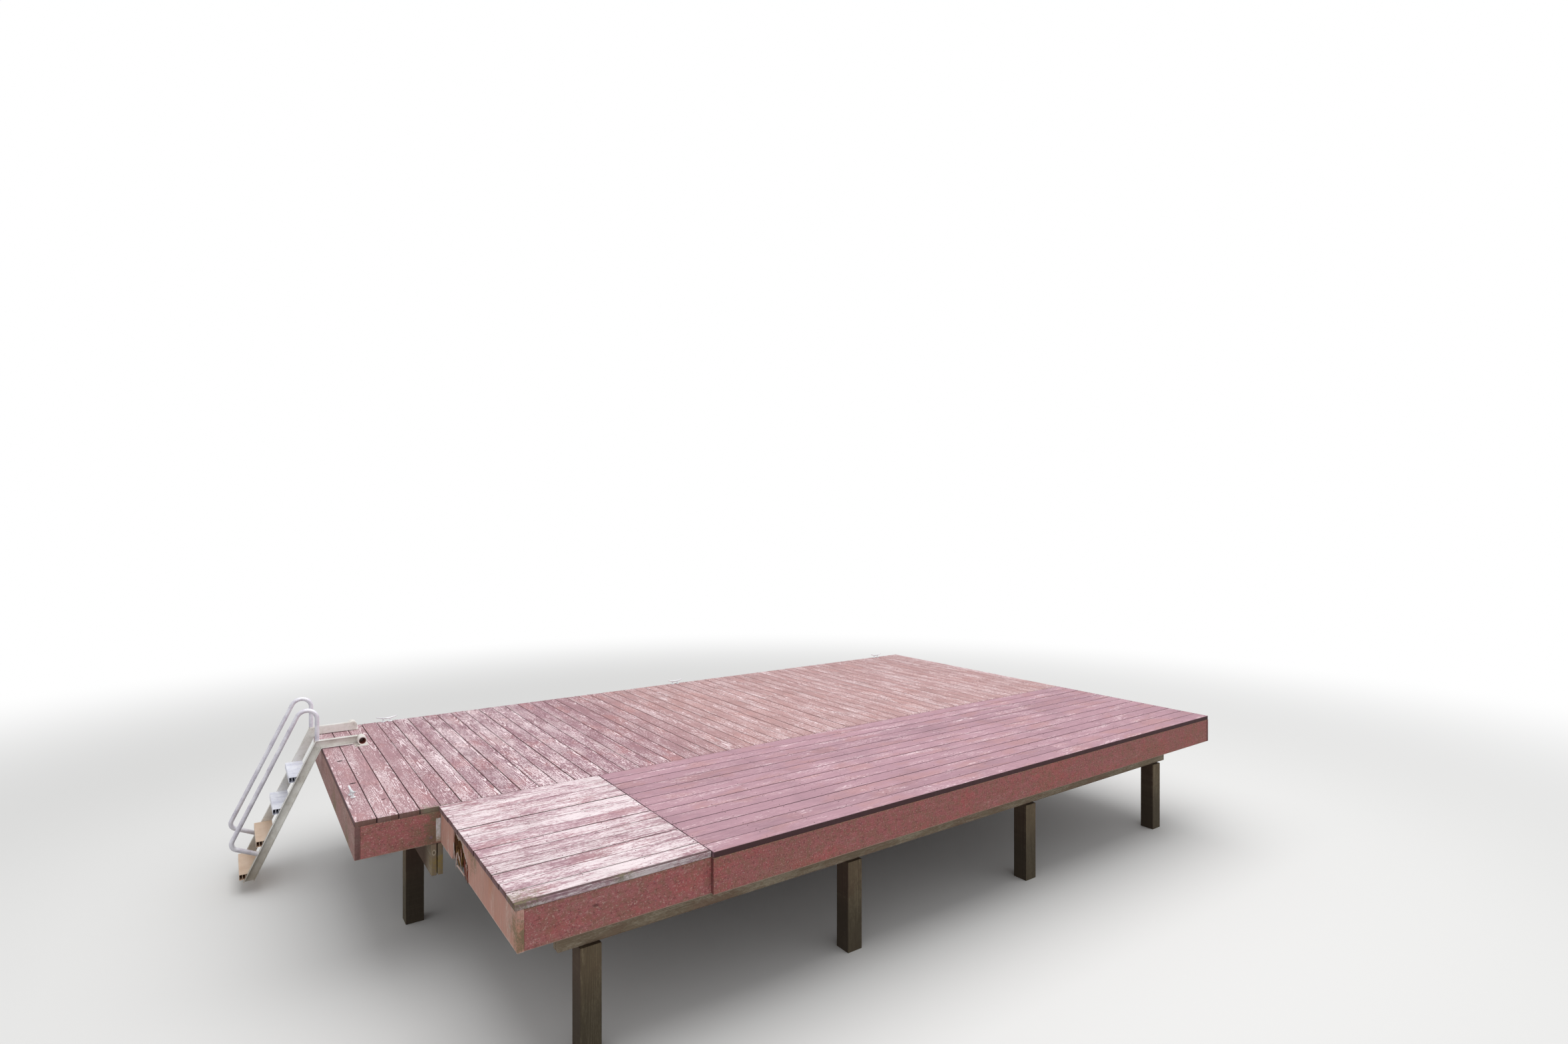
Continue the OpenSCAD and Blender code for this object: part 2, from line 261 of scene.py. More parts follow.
def new_group(name, takes, gives, sort="Float"):
    """Starts a node group. Its inputs are named with their first value, or with their sort alone."""
    tree = bpy.data.node_groups.new(name, "ShaderNodeTree" if sort == "Float" else "GeometryNodeTree")
    sorts = {float: "Float", int: "Int", tuple: "Vector"}
    for label, value in takes.items():
        kind = sorts.get(type(value), value)
        made = tree.interface.new_socket(label, in_out="INPUT", socket_type="NodeSocket" + kind)
        if kind != value:
            made.default_value = value
    for label in gives:
        tree.interface.new_socket(label, in_out="OUTPUT", socket_type="NodeSocket" + sort)
    desk = Desk(tree)
    return desk, desk.node("NodeGroupInput")


def end_group(desk, **outputs):
    """Joins a group's results to its outputs and returns its tree."""
    desk.node("NodeGroupOutput", outputs)
    return desk.tree


def board_grain_group():
    """Growth rings cut lengthwise, fibres, drying checks and knots of one board."""
    desk, given = new_group("board grain", {"At": "Vector", "Seed": 0.0, "Ring gap": 0.006},
                            ("Stripe", "Fibre", "Check", "Knot"))
    along, across, up = desk.split(given["At"])
    seed = given["Seed"]
    shift = seed * 61.0
    heart = (desk.chance(seed, 1.0) - 0.5) * 0.13
    depth = desk.chance(seed, 2.0) * 0.045 + 0.012
    slope = (desk.chance(seed, 3.0) - 0.5) * 0.04
    knot_place = desk.vector(along * 2.2 + shift, across * 4.5 + shift, shift)
    cell = desk.node("ShaderNodeTexVoronoi", {"Vector": knot_place, "Scale": 1.0}, feature="F1")
    rare = desk.ramp(desk.split(cell["Color"])[0], 0.88, 0.90)
    knot = desk.fall(cell["Distance"], 0.035, 0.07) * rare
    bulge = desk.fall(cell["Distance"], 0.0, 0.40) * rare
    sway = desk.noise(desk.vector(along * 0.8 + shift, across * 2.0, shift))
    curl = desk.noise(desk.vector(along * 5.0 + shift, across * 10.0, shift))
    lower = depth + slope * along + up + (sway - 0.5) * 0.06 + (curl - 0.5) * 0.009
    aside = across - heart + (sway - 0.5) * 0.03
    radius = (lower * lower + aside * aside) ** 0.5 + bulge * 0.016
    tremble = desk.noise(desk.vector(along * 30.0 + shift, across * 90.0, shift))
    turn = ((radius + (tremble - 0.5) * 0.0022) / given["Ring gap"]).math("FRACT")
    stripe = desk.ramp(turn, 0.30, 0.75) * desk.fall(turn, 0.86, 1.0)
    fibre_place = desk.vector(along * 7.0 + shift, across * 230.0, up * 230.0)
    check_place = desk.vector(along * 2.0 + shift, across * 120.0 + curl * 1.6, up * 60.0)
    return end_group(desk, Stripe=stripe, Fibre=desk.cloud(fibre_place, 0.30, 0.70, 1.0, 3.0, 0.6),
                     Check=desk.cloud(check_place, 0.66, 0.72), Knot=knot)


def peeling_group():
    """Where the paint of a board has worn off: in patches, and along the hard rings first."""
    desk, given = new_group(
        "peeling paint",
        {"At": "Vector", "Seed": 0.0, "Stripe": 0.0, "Fibre": 0.0, "Wear": 0.4, "Spread": 0.2,
         "Streak": 12.0, "Streak share": 0.4, "Patch share": 0.46, "Fleck share": 0.34, "Ring share": 0.4},
        ("Bare", "Faded"))
    along, across = desk.split(given["At"])[:2]
    seed = given["Seed"]
    shift = seed * 83.0
    broad = desk.vector(along * 1.6 + shift, across * 6.0, shift)
    patch = desk.cloud(broad, 0.30, 0.70, 1.0, 4.0, 0.62)
    lines = desk.vector(along * 3.2 + shift, across * given["Streak"], shift)
    streak = desk.cloud(lines, 0.30, 0.70, 1.0, 4.0, 0.65)
    small = desk.vector(along * 34.0 + shift, across * 95.0, shift)
    fleck = desk.cloud(small, 0.34, 0.66, 1.0, 4.0, 0.7)
    clear = desk.cloud(desk.vector(along * 2.3 + shift, across * 5.0, shift + 9.0), 0.35, 0.65)
    own = (desk.chance(seed, 5.0) - 0.5) * given["Spread"]
    drawn = (given["Stripe"] - 0.42) * given["Ring share"] * (clear * 0.8 + 0.35)
    level = (given["Wear"] + own + (patch - 0.5) * given["Patch share"]
             + (streak - 0.5) * given["Streak share"] + (fleck - 0.5) * given["Fleck share"] + drawn
             + (given["Fibre"] - 0.5) * 0.14)
    return end_group(desk, Bare=desk.ramp(level, 0.50, 0.76), Faded=desk.ramp(level, 0.15, 0.60))


def stain_group():
    """Dirt that gathers in blotches, in specks and along the edges."""
    desk, given = new_group("dirt and stain", {"Place": "Vector", "At": "Vector", "Half width": 0.07},
                            ("Blotch", "Speck", "Edge"))
    across = desk.split(given["At"])[1]
    speck = desk.noise(given["Place"], 48.0, 3.0, 0.7)
    aside = across.math("ABSOLUTE") / given["Half width"] + (speck - 0.5) * 0.16
    return end_group(desk, Blotch=desk.cloud(given["Place"], 0.46, 0.74, 2.4, 4.0, 0.65),
                     Speck=desk.ramp(speck, 0.58, 0.74), Edge=desk.ramp(aside, 0.88, 1.02))


def growth_group():
    """Thin patches of moss and algae round one spot."""
    desk, given = new_group("green growth", {"Place": "Vector", "Spot": (0.0, 0.0, 0.0), "Reach": 0.3},
                            ("Moss",))
    gap = desk.vectors("DISTANCE", given["Place"], given["Spot"], output="Value")
    near = desk.fall(gap / given["Reach"], 0.0, 1.0)
    cloud = desk.cloud(given["Place"], 0.30, 0.70, 13.0, 4.0, 0.65)
    speck = desk.cloud(given["Place"], 0.30, 0.70, 85.0, 3.0, 0.7)
    patch = desk.ramp(near * 0.8 + cloud * 0.5 + speck * 0.4, 0.80, 1.45)
    return end_group(desk, Moss=patch * near.math("SQRT"))


def metal_wear_group():
    """Brushed streaks, dull blotches and grime of bare metal."""
    desk, given = new_group("weathered metal",
                            {"Place": "Vector", "Stretch": (8.0, 8.0, 8.0), "Blotch": 9.0},
                            ("Streak", "Dull", "Grime"))
    drawn = desk.vectors("MULTIPLY", given["Place"], given["Stretch"])
    cloud = desk.noise(given["Place"], given["Blotch"], 4.0, 0.65)
    speck = desk.noise(given["Place"], 70.0, 4.0, 0.75)
    return end_group(desk, Streak=desk.noise(drawn, 1.0, 3.0, 0.6), Dull=desk.ramp(cloud, 0.35, 0.70),
                     Grime=desk.ramp(speck + cloud * 0.5, 0.82, 1.0))


BOARD_GRAIN = board_grain_group()
PEELING = peeling_group()
STAIN = stain_group()
GROWTH = growth_group()
METAL_WEAR = metal_wear_group()


# Finishes: roughness and metallic share of sound surfaces, and tints of single spots,
# of painted shade and of painted highlight

WOOD_ROUGH = 0.78
METAL_ROUGH = 0.38
METAL_SHARE = 0.3
DENT_TINT = "#3f2429"
LOW_DARK_TINT = "#38342a"
PAINTED_CHANNEL_SHADE = "#969086"
PAINTED_FLANGE_HIGHLIGHT = "#ffffff"
BORE_SHADE_TINT = "#a3655a"


def new_material(name):
    """Starts a material; returns it, its desk and its Principled node."""
    made = bpy.data.materials.new(name)
    made.use_nodes = True
    return made, Desk(made.node_tree), made.node_tree.nodes["Principled BSDF"]


def worn_stretch(desk, x, wear, zone):
    """Wear of the paint, heavier over one stretch along the jetty."""
    start, full, fade, stop = [deck(edge, 0, 0).x for edge in zone[:4]]
    return desk.ramp(x, start, full) * desk.fall(x, fade, stop) * zone[4] + wear


def lay_freckles(coats, place, share, soil, dark, bare):
    """Soiled, dark and bare freckles of old paint, over each other."""
    for low, high, scale, detail, rough, amount, tint in (
            (0.42, 0.62, 20.0, 5.0, 0.75, 0.50, soil), (0.54, 0.66, 64.0, 3.0, 0.70, 0.46, dark),
            (0.56, 0.68, 95.0, 3.0, 0.70, share, bare)):
        coats.lay(coats.desk.cloud(place, low, high, scale, detail, rough) * amount, tint)


def lay_knot(coats, place, spot, bare, dark):
    """Large knot on a beam's end: a dark heart in a pale oval ring."""
    desk = coats.desk
    dx, dy, dz = desk.split(desk.vectors("SUBTRACT", place, tuple(spot)))
    core = ((dx * 1.6) ** 2.0 + dz ** 2.0 + (dy * 2.0) ** 2.0) ** 0.5
    coats.lay(desk.ramp(core, 0.011, 0.015) * desk.fall(core, 0.019, 0.024) * 0.9, bare)
    coats.lay(desk.fall(core, 0.006, 0.011) * 0.6, dark)


def lay_dent(coats, place, spot, long_half, wide_half):
    """Dark oval dent in the top of a board."""
    desk = coats.desk
    dx, dy = desk.split(desk.vectors("SUBTRACT", place, tuple(spot)))[:2]
    far = ((dx / long_half) ** 2.0 + (dy / wide_half) ** 2.0) ** 0.5
    coats.lay(desk.fall(far, 0.75, 1.0), DENT_TINT)


def wood(name, paint, faded, bare, dark, red, wear, spread=0.2, streak=24.0, streaks=0.30, patches=0.46,
         flecks=0.34, rings=0.40, ring_gap=0.006, dirt=0.35, soil="#5b4438", half_width=0.118, side=0.6,
         sawn=None, sawn_share=0.62, shade=0.16, relief=0.5, flank_shade_tint="#43292a", freckles=0.0, moss=(),
         moss_tint="#7d7657", dents=(), worn_zone=None, sunned=(), knot_at=None, foot_highlight=None, back_shade=None,
         darker_low=None):
    """Timber with its grain along the piece, under worn paint or bare. Its zones are in deck X and Y."""
    made, desk, skin = new_material(name)
    at = desk.attribute("grain_at", "Vector")
    seed = desk.attribute("board_id")
    place = desk.place()
    x, y, z = desk.split(place)
    along, across = desk.split(at)[:2]
    grain = desk.group(BOARD_GRAIN, {"At": at, "Seed": seed, "Ring gap": ring_gap})
    if worn_zone:
        wear = worn_stretch(desk, x, wear, worn_zone)
    peel = desk.group(PEELING, {
        "At": at, "Seed": seed, "Stripe": grain["Stripe"], "Fibre": grain["Fibre"], "Wear": wear,
        "Spread": spread, "Streak": streak, "Streak share": streaks, "Patch share": patches,
        "Fleck share": flecks, "Ring share": rings})
    stain = desk.group(STAIN, {"Place": place, "At": at, "Half width": half_width})
    coats = Coats(desk, desk.mix(peel["Faded"], paint, faded))
    warm_place = desk.vector(along * 2.0 + seed * 47.0, across * 4.0, seed * 29.0)
    coats.lay(desk.cloud(warm_place, 0.50, 0.66, 1.0, 3.0, 0.6) * 0.5, red)
    coats.lay(desk.chance(seed, 9.0) * shade, dark)
    for full, none, share, tint in sunned:
        coats.lay(desk.fall(x, deck(full, 0, 0).x, deck(none, 0, 0).x) * share, tint)
    coats.lay(peel["Bare"], bare)
    thread = grain["Fibre"].under() * grain["Stripe"].under()
    for mask in (thread * 0.34, grain["Check"] * 0.5, grain["Knot"] * 0.7):
        coats.lay(mask, dark)
    soiled = stain["Blotch"] * 0.7 + stain["Speck"] * 0.5 + stain["Edge"] * 1.4
    coats.lay((soiled * dirt).math("MINIMUM", 1.0), soil)
    if freckles:
        lay_freckles(coats, place, freckles, soil, dark, bare)
    # Painted shade: the sides of boards and timbers darken towards a dark tint, so the gaps between boards
    # look dark
    coats.lay(desk.ramp(desk.attribute("flank"), 0.35, 0.95) * side, flank_shade_tint)
    coats.lay(desk.attribute("end_grain") * sawn_share, sawn or dark)
    if knot_at:
        lay_knot(coats, place, knot_at, bare, dark)
    # Painted highlight: a pale band along the lower edge of a rim or skirt, where that edge catches the
    # light
    if foot_highlight:
        coats.lay(desk.fall(z, foot_highlight + 0.002, foot_highlight + 0.007) * 0.55, bare)
    for spot, reach in moss:
        growth = desk.group(GROWTH, {"Place": place, "Spot": tuple(spot), "Reach": reach})
        coats.lay(growth["Moss"] * 0.8, moss_tint)
    for dent in dents:
        lay_dent(coats, place, *dent)
    # Painted shade: darker towards the back in deck Y, where the deck above shades the timber
    if back_shade:
        near, far, depth, tint = back_shade
        coats.lay(desk.ramp(y, deck(0, near, 0).y, deck(0, far, 0).y) * depth, tint)
    # Darker towards the bottom, along a height that wanders with noise
    if darker_low:
        low, high, depth = darker_low
        coats.lay(desk.fall(z + desk.noise(place, 7.0, 3.0) * 0.08, low, high) * depth, LOW_DARK_TINT)
    desk.feed(skin.inputs["Base Color"], coats.colour)
    desk.feed(skin.inputs["Roughness"], peel["Bare"] * 0.10 + WOOD_ROUGH)
    skin.inputs["Specular IOR Level"].default_value = 0.3
    desk.bump(skin, relief, 0.0012, grain["Stripe"] * 0.5 + grain["Fibre"] * 0.6 - peel["Bare"] * 0.7
              - grain["Knot"] - grain["Check"] * 1.5)
    return made


def ladder_planes(desk, place):
    """Of a place on the ladder: its distance from the middle, from the deck's planes and from the hinge."""
    x, y, z = desk.split(place)
    out = x - CORNER.x
    rise = z - CORNER.z
    aside = (y - HINGE.y).math("ABSOLUTE")
    height = rise.math("MAXIMUM", rise * math.cos(SLOPE) - out * math.sin(SLOPE))
    turn = ((x - HINGE.x) ** 2.0 + (z - HINGE.z) ** 2.0) ** 0.5
    return aside, height, turn


def metal(name, clean, dull, soil, stretch, rust=None, algae=None, painted_channel_light=False, bore=None):
    """Streaked, blotched and grimy metal; algae end between two heights, rust between two deck heights.
    A channel gets painted shade on its web and a painted highlight on its flange edges; a bore, painted
    shade inside.
    """
    made, desk, skin = new_material(name)
    place = desk.place()
    z = desk.split(place)[2]
    wear = desk.group(METAL_WEAR, {"Place": place, "Stretch": stretch})
    coats = Coats(desk, desk.mix(wear["Dull"], clean, dull))
    coats.lay(desk.ramp(wear["Streak"], 0.45, 0.75) * 0.35, dull)
    coats.lay(wear["Grime"] * 0.45, soil)
    covered = wear["Grime"] * 0.5
    if painted_channel_light or bore:
        aside, height, turn = ladder_planes(desk, place)
    # Painted shade: the outer face of each web darkens, most of all just under the upper flange that shades
    # it
    if painted_channel_light:
        outside = desk.ramp(aside, WEB_FACE - 0.0020, WEB_FACE - 0.0002)
        shaded_web = outside * desk.fall(aside, WEB_FACE + 0.007, HALF_LADDER - 0.003)
        coats.lay(shaded_web * (desk.ramp(height, 0.045, CHANNEL_TOP - 0.002) * 0.42 + 0.04), PAINTED_CHANNEL_SHADE)
        # Painted highlight: a bright white line along the outer edge of each flange
        coats.lay(desk.ramp(aside, HALF_LADDER - 0.0025, HALF_LADDER - 0.0005) * 0.8, PAINTED_FLANGE_HIGHLIGHT)
    if algae:
        low, high, tint = algae
        slime = desk.fall(z + desk.noise(place, 14.0, 3.0) * 0.10, low, high)
        coats.lay(slime * 0.72, tint)
        covered = covered + slime * 0.6
    if rust:
        low, high, tint = rust
        cloud = desk.noise(place, 38.0, 4.0, 0.7)
        eaten = desk.fall(z + cloud * 0.05, deck(0, 0, low).z, deck(0, 0, high).z)
        coats.lay(eaten, tint)
        covered = covered + eaten
    # Painted shade: the inside of the sleeve's bore is laid over with a dark red-brown
    if bore:
        beside = desk.ramp(aside, WEB_FACE - 0.0004, WEB_FACE + 0.0004)
        bore_shade = desk.fall(turn, bore - 0.0004, bore + 0.0004) * beside
        coats.lay(bore_shade, BORE_SHADE_TINT)
        covered = covered + bore_shade
    desk.feed(skin.inputs["Base Color"], coats.colour)
    desk.feed(skin.inputs["Metallic"], covered.math("MINIMUM", 1.0).under() * METAL_SHARE)
    desk.feed(skin.inputs["Roughness"], wear["Dull"] * 0.16 + wear["Streak"] * 0.16 + METAL_ROUGH)
    desk.bump(skin, 0.25, 0.0006, wear["Streak"] * 0.5 + wear["Grime"])
    return made


PEELED_BOARDS = wood(
    "peeled_boards", paint="#9c7580", faded="#bd969f", bare="#f8e6ea", dark="#5e434b", red="#bd7f7f",
    wear=0.28, spread=0.22, streak=26.0, streaks=0.26, patches=0.44, flecks=0.66, rings=0.60,
    ring_gap=0.0064, dirt=0.20, half_width=0.0695, side=0.85, sawn="#7c5c50", sawn_share=0.85, shade=0.14,
    flank_shade_tint="#56363a", sunned=((0.25, 1.0, 0.55, "#c9a3a6"), (3.8, 1.8, 0.60, "#cea8a2")),
    moss=((deck(0.50, -0.02, -0.03), 0.24),), moss_tint="#8d8a74",
    dents=((deck(0.104, 0.945, 0), 0.028, 0.019), (deck(0.090, 1.680, 0), 0.026, 0.022),
           (deck(0.245, 0.400, 0), 0.016, 0.011)),
    worn_zone=(0.35, 0.9, 1.3, 2.6, 0.22))
STAINED_BOARDS = wood(
    "stained_boards", paint="#be96a2", faded="#cea8b2", bare="#f4dde2", dark="#785b66", red="#c1918f",
    wear=0.19, spread=0.18, streak=16.0, streaks=0.40, flecks=0.52, rings=0.30, dirt=0.34,
    soil="#6e5a62", half_width=0.0705, side=0.9, relief=0.3, shade=0.26)
PLATFORM_BOARDS = wood(
    "platform_boards", paint="#b08a96", faded="#d6b3bc", bare="#faecef", dark="#6a4f57", red="#c08f92",
    wear=0.57, spread=0.26, streak=64.0, streaks=0.45, flecks=0.46, rings=0.24, ring_gap=0.0055,
    dirt=0.24, half_width=0.0686, side=0.9, sawn="#6e4b4b", sawn_share=0.8,
    moss=((deck(0.60, -1.80, -0.02), 0.30), (deck(1.20, -1.88, 0.0), 0.20)))
PAINTED_RIMS = wood(
    "painted_rims", paint="#c87a7b", faded="#d18e8e", bare="#edcfc2", dark="#643c3c", red="#d87270",
    wear=0.16, spread=0.12, streak=14.0, rings=0.14, dirt=0.50, soil="#93775f",
    freckles=0.55, foot_highlight=RIM_FOOT,
    moss=((deck(0.52, 0.0, -0.06), 0.26), (deck(0.50, 0.0, -0.20), 0.30)), moss_tint="#857860")
WORN_RIMS = wood(
    "worn_rims", paint="#bf918d", faded="#cba5a0", bare="#e6cdc6", dark="#664644", red="#c58680",
    wear=0.24, spread=0.14, streak=14.0, rings=0.30, dirt=0.40, soil="#8a7465",
    freckles=0.25, foot_highlight=RIM_FOOT, flank_shade_tint="#6e4a44",
    moss=((deck(0.0, 0.4, -0.27), 0.34), (deck(0.0, 1.2, -0.27), 0.40)))
SKIRT_BOARDS = wood(
    "skirt_boards", paint="#e8b0a2", faded="#edc0b3", bare="#f7e4da", dark="#96705c", red="#eaa183",
    wear=0.26, spread=0.10, streak=60.0, rings=0.16, dirt=0.24, soil="#9c8468",
    half_width=3.0, foot_highlight=RIM_FOOT,
    moss=((deck(0.579, -0.9, -0.06), 0.30), (deck(0.579, -1.86, -0.2), 0.3)))
FRAME_TIMBER = wood(
    "frame_timber", paint="#8a7361", faded="#9a8470", bare="#ae9a84", dark="#4d3d30", red="#8b6d58",
    wear=0.3, dirt=0.5, ring_gap=0.009)
BEAM_TIMBER = wood(
    "beam_timber", paint="#a3917b", faded="#b5a48e", bare="#cfc2ab", dark="#5a4c36", red="#a08070",
    wear=0.35, spread=0.1, dirt=0.30, ring_gap=0.009, sawn="#a08e7a", sawn_share=0.8,
    moss=((deck(0.575, 0.0, -0.43), 0.20),), moss_tint="#b39a58", knot_at=deck(0.520, 0.0, -0.337),
    back_shade=(0.06, 0.26, 0.88, "#4a2d1c"))
POST_TIMBER = wood(
    "post_timber", paint="#85755e", faded="#95866c", bare="#aa9a80", dark="#453a2c", red="#836a55",
    wear=0.3, dirt=0.5, ring_gap=0.009, darker_low=(0.25, 0.75, 0.7))
ROTTEN_WOOD = wood(
    "rotten_wood", paint="#8c562a", faded="#ae762e", bare="#e8bc70", dark="#3c2014", red="#9a4c2a",
    wear=0.36, spread=0.7, streak=60.0, dirt=0.40, soil="#3c2616", relief=0.9, shade=0.7)
PALE_SPLINTERS = wood(
    "pale_splinters", paint="#e4c6bc", faded="#ecd5cb", bare="#f7eae3", dark="#a97d6a", red="#e2b5a6",
    wear=0.6, streak=60.0, dirt=0.1, relief=0.8)
RED_SPLINTERS = wood(
    "red_splinters", paint="#94483a", faded="#ab5f4c", bare="#e0b7a4", dark="#5a2a20", red="#a8483a",
    wear=0.42, spread=0.8, streak=60.0, dirt=0.15, relief=0.9, shade=0.5)

# Ladder metal carries painted shade in its channels and a painted highlight along their flange edges
LADDER_METAL = metal("ladder_metal", "#f6f5f1", "#e0ddd6", "#ada498", (6.0, 6.0, 60.0), painted_channel_light=True,
                     bore=0.0296, algae=(0.15, 0.60, "#9c8f7c"))
RAIL_METAL = metal("rail_metal", "#f0eff7", "#d8d4e0", "#aca4b2", (6.0, 6.0, 40.0),
                   algae=(0.15, 0.55, "#a0906c"))
TREAD_METAL = metal("tread_metal", "#f6f8ff", "#dfe1ee", "#b3aca4", (60.0, 6.0, 60.0),
                    algae=(0.53, 0.66, "#dcb585"))
CLEAT_METAL = metal("cleat_metal", "#f4f5f8", "#d3d6da", "#9c9990", (30.0, 30.0, 30.0))
STRAP_METAL = metal("strap_metal", "#f2f2fa", "#a8b094", "#6f6c50", (60.0, 60.0, 8.0),
                    rust=(-0.255, -0.165, "#c4a893"))
HINGE_METAL = metal("hinge_metal", "#f3f1ee", "#dcd6cf", "#937460", (20.0, 20.0, 20.0), bore=0.0299,
                    rust=(0.010, 0.030, "#b29a92"))
SCREW_METAL = metal("screw_metal", "#9a7c84", "#7c646a", "#54403c", (90.0, 90.0, 90.0))
BOLT_METAL = metal("bolt_metal", "#d2c8c0", "#a8968a", "#7a5542", (90.0, 90.0, 90.0))


# Meshes

def put(name, data):
    """New object in the scene for a mesh, a lamp or a camera."""
    made = bpy.data.objects.new(name, data)
    bpy.context.scene.collection.objects.link(made)
    return made


def plain_object(name, points, edges=(), faces=()):
    """Object from bare lists of points, edges and faces."""
    mesh = bpy.data.meshes.new(name)
    mesh.from_pydata(points, edges, faces)
    return put(name, mesh)


def shaped_object(name, shape, finish):
    """Object with one finish from a bmesh, which it uses up."""
    mesh = bpy.data.meshes.new(name)
    shape.to_mesh(mesh)
    shape.free()
    mesh.materials.append(finish)
    return put(name, mesh)


def settle(name, shape, finish, smooth=False):
    """Object with one finish from a bmesh, its faces turned outwards."""
    bmesh.ops.recalc_face_normals(shape, faces=shape.faces)
    for face in shape.faces:
        face.smooth = smooth
    return shaped_object(name, shape, finish)


def joined(name, pieces):
    """One object from several of one finish."""
    shape = bmesh.new()
    for piece in pieces:
        shape.from_mesh(piece.data)
    made = shaped_object(name, shape, pieces[0].data.materials[0])
    for piece in pieces:
        bpy.data.objects.remove(piece)
    return made


def claim(piece, body, slot, *nodes):
    """Says what a piece rides on and which nodes it stands for; its slot is not used."""
    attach(piece, body)
    if nodes:
        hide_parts(*nodes)


def new_timber_shape():
    """Empty bmesh with the layers that timber finishes read."""
    shape = bmesh.new()
    shape.verts.layers.float_vector.new("grain_at")
    for name in ("board_id", "end_grain", "flank"):
        shape.verts.layers.float.new(name)
    return shape


def mark(shape, vertex, grain_at, board_id, end_grain=0.0, flank=0.0):
    """Sets what a timber finish reads at one point."""
    layers = shape.verts.layers
    vertex[layers.float_vector["grain_at"]] = grain_at
    for name, value in (("board_id", board_id), ("end_grain", end_grain), ("flank", flank)):
        vertex[layers.float[name]] = value


def solids(node):
    """Lowest and highest corners of the separate solids in a CAD node, in order along the jetty."""
    shape = bmesh.new()
    shape.from_mesh(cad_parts[node].data)
    bmesh.ops.remove_doubles(shape, verts=shape.verts, dist=1e-5)
    shape.verts.ensure_lookup_table()
    seen = set()
    found = []
    for start in shape.verts:
        if start.index in seen:
            continue
        seen.add(start.index)
        island = [start]
        for vertex in island:
            for edge in vertex.link_edges:
                other = edge.other_vert(vertex)
                if other.index not in seen:
                    seen.add(other.index)
                    island.append(other)
        found.append([Vector([end(v.co[i] for v in island) for i in range(3)]) for end in (min, max)])
    shape.free()
    found.sort(key=lambda pair: [round(value, 4) for value in pair[0]])
    return found


def eased_section(wide, thick, ease):
    """The twelve points of a rectangle with eased corners, each with how far it is down the side."""
    soft = ease * 0.3
    corner = ((wide, thick - ease, 1.0), (wide - soft, thick - soft, 0.5), (wide - ease, thick, 0.0))
    points = []
    for a, b, backwards in ((1, 1, False), (-1, 1, True), (-1, -1, False), (1, -1, True)):
        turn = [(a * p, b * q, flank) for p, q, flank in corner]
        points += reversed(turn) if backwards else turn
    return points


def tube_ring(shape, centre, side, over, wide, high, count):
    """Ring of points round a centre, in the plane of two directions."""
    angles = [math.tau * i / count for i in range(count)]
    return [shape.verts.new(centre + side * (math.cos(angle) * wide) + over * (math.sin(angle) * high))
            for angle in angles]


def skin_rings(shape, rings):
    """Closes a run of rings with faces and a cap at each end."""
    count = len(rings[0])
    for first, second in zip(rings, rings[1:]):
        for i in range(count):
            j = (i + 1) % count
            shape.faces.new((first[i], first[j], second[j], second[i]))
    shape.faces.new(rings[0])
    shape.faces.new(rings[-1])


def add_timber(shape, low, high, board_id, slack=SLACK):
    """Adds one timber between two corners, with eased edges and sides a hair out of true."""
    size = high - low
    along, across, up = sorted(range(3), key=lambda axis: -size[axis])
    middle = (low + high) / 2
    half = size[along] / 2
    wide = size[across] / 2 - slack
    thick = size[up] / 2 - slack
    count = max(2, round(size[along] / STATION_STEP))
    stations = [(-half, EASE), (-half + EASE * 0.3, EASE * 0.3)]
    stations += [(-half + EASE + (2 * half - 2 * EASE) * i / count, 0.0) for i in range(count + 1)]
    stations += [(half - EASE * 0.3, EASE * 0.3), (half, EASE)]
    rings = []
    for number, (place, inset) in enumerate(stations):
        bend = noise.noise(Vector((place * 1.1, board_id * 40.0, 0.0))) * slack
        bow = noise.noise(Vector((place * 0.9, board_id * 40.0, 9.0))) * slack
        sawn = 1.0 if number in (0, len(stations) - 1) else 0.0
        ring = []
        for a, b, flank in eased_section(wide - inset, thick - inset, max(EASE - inset, EASE * 0.4)):
            spot = middle.copy()
            spot[along] += place
            spot[across] += a + bend
            spot[up] += b + bow
            vertex = shape.verts.new(spot)
            mark(shape, vertex, (place, a, b), board_id, sawn, flank)
            ring.append(vertex)
        rings.append(ring)
    skin_rings(shape, rings)


def timber_piece(node, finish, slot):
    """Eased timbers in place of the square solids of a CAD node."""
    shape = new_timber_shape()
    for low, high in solids(node):
        add_timber(shape, low, high, dice.random())
    claim(settle(node + "_timber", shape, finish), "jetty", slot, node)


# Geometry Nodes

def apply_tree(piece, tree, values):
    """Runs a geometry tree on a piece and keeps the result as its plain mesh."""
    made = piece.modifiers.new(tree.name, "NODES")
    made.node_group = tree
    for item in tree.interface.items_tree:
        if item.in_out == "INPUT" and item.name in values:
            made[item.identifier] = values[item.name]
    bpy.context.view_layer.update()
    graph = bpy.context.evaluated_depsgraph_get()
    mesh = bpy.data.meshes.new_from_object(piece.evaluated_get(graph), preserve_all_data_layers=True,
                                           depsgraph=graph)
    piece.modifiers.remove(made)
    piece.data = mesh
    mesh.name = piece.name
    return piece


def finish_instances(desk, instances, finish, smooth=False):
    """Makes instances real and gives them their finish."""
    real = desk.geometry("RealizeInstances", {"Geometry": instances})
    if smooth:
        real = desk.geometry("SetShadeSmooth", {"Geometry": real})
    return desk.geometry("SetMaterial", {"Geometry": real, "Material": finish})


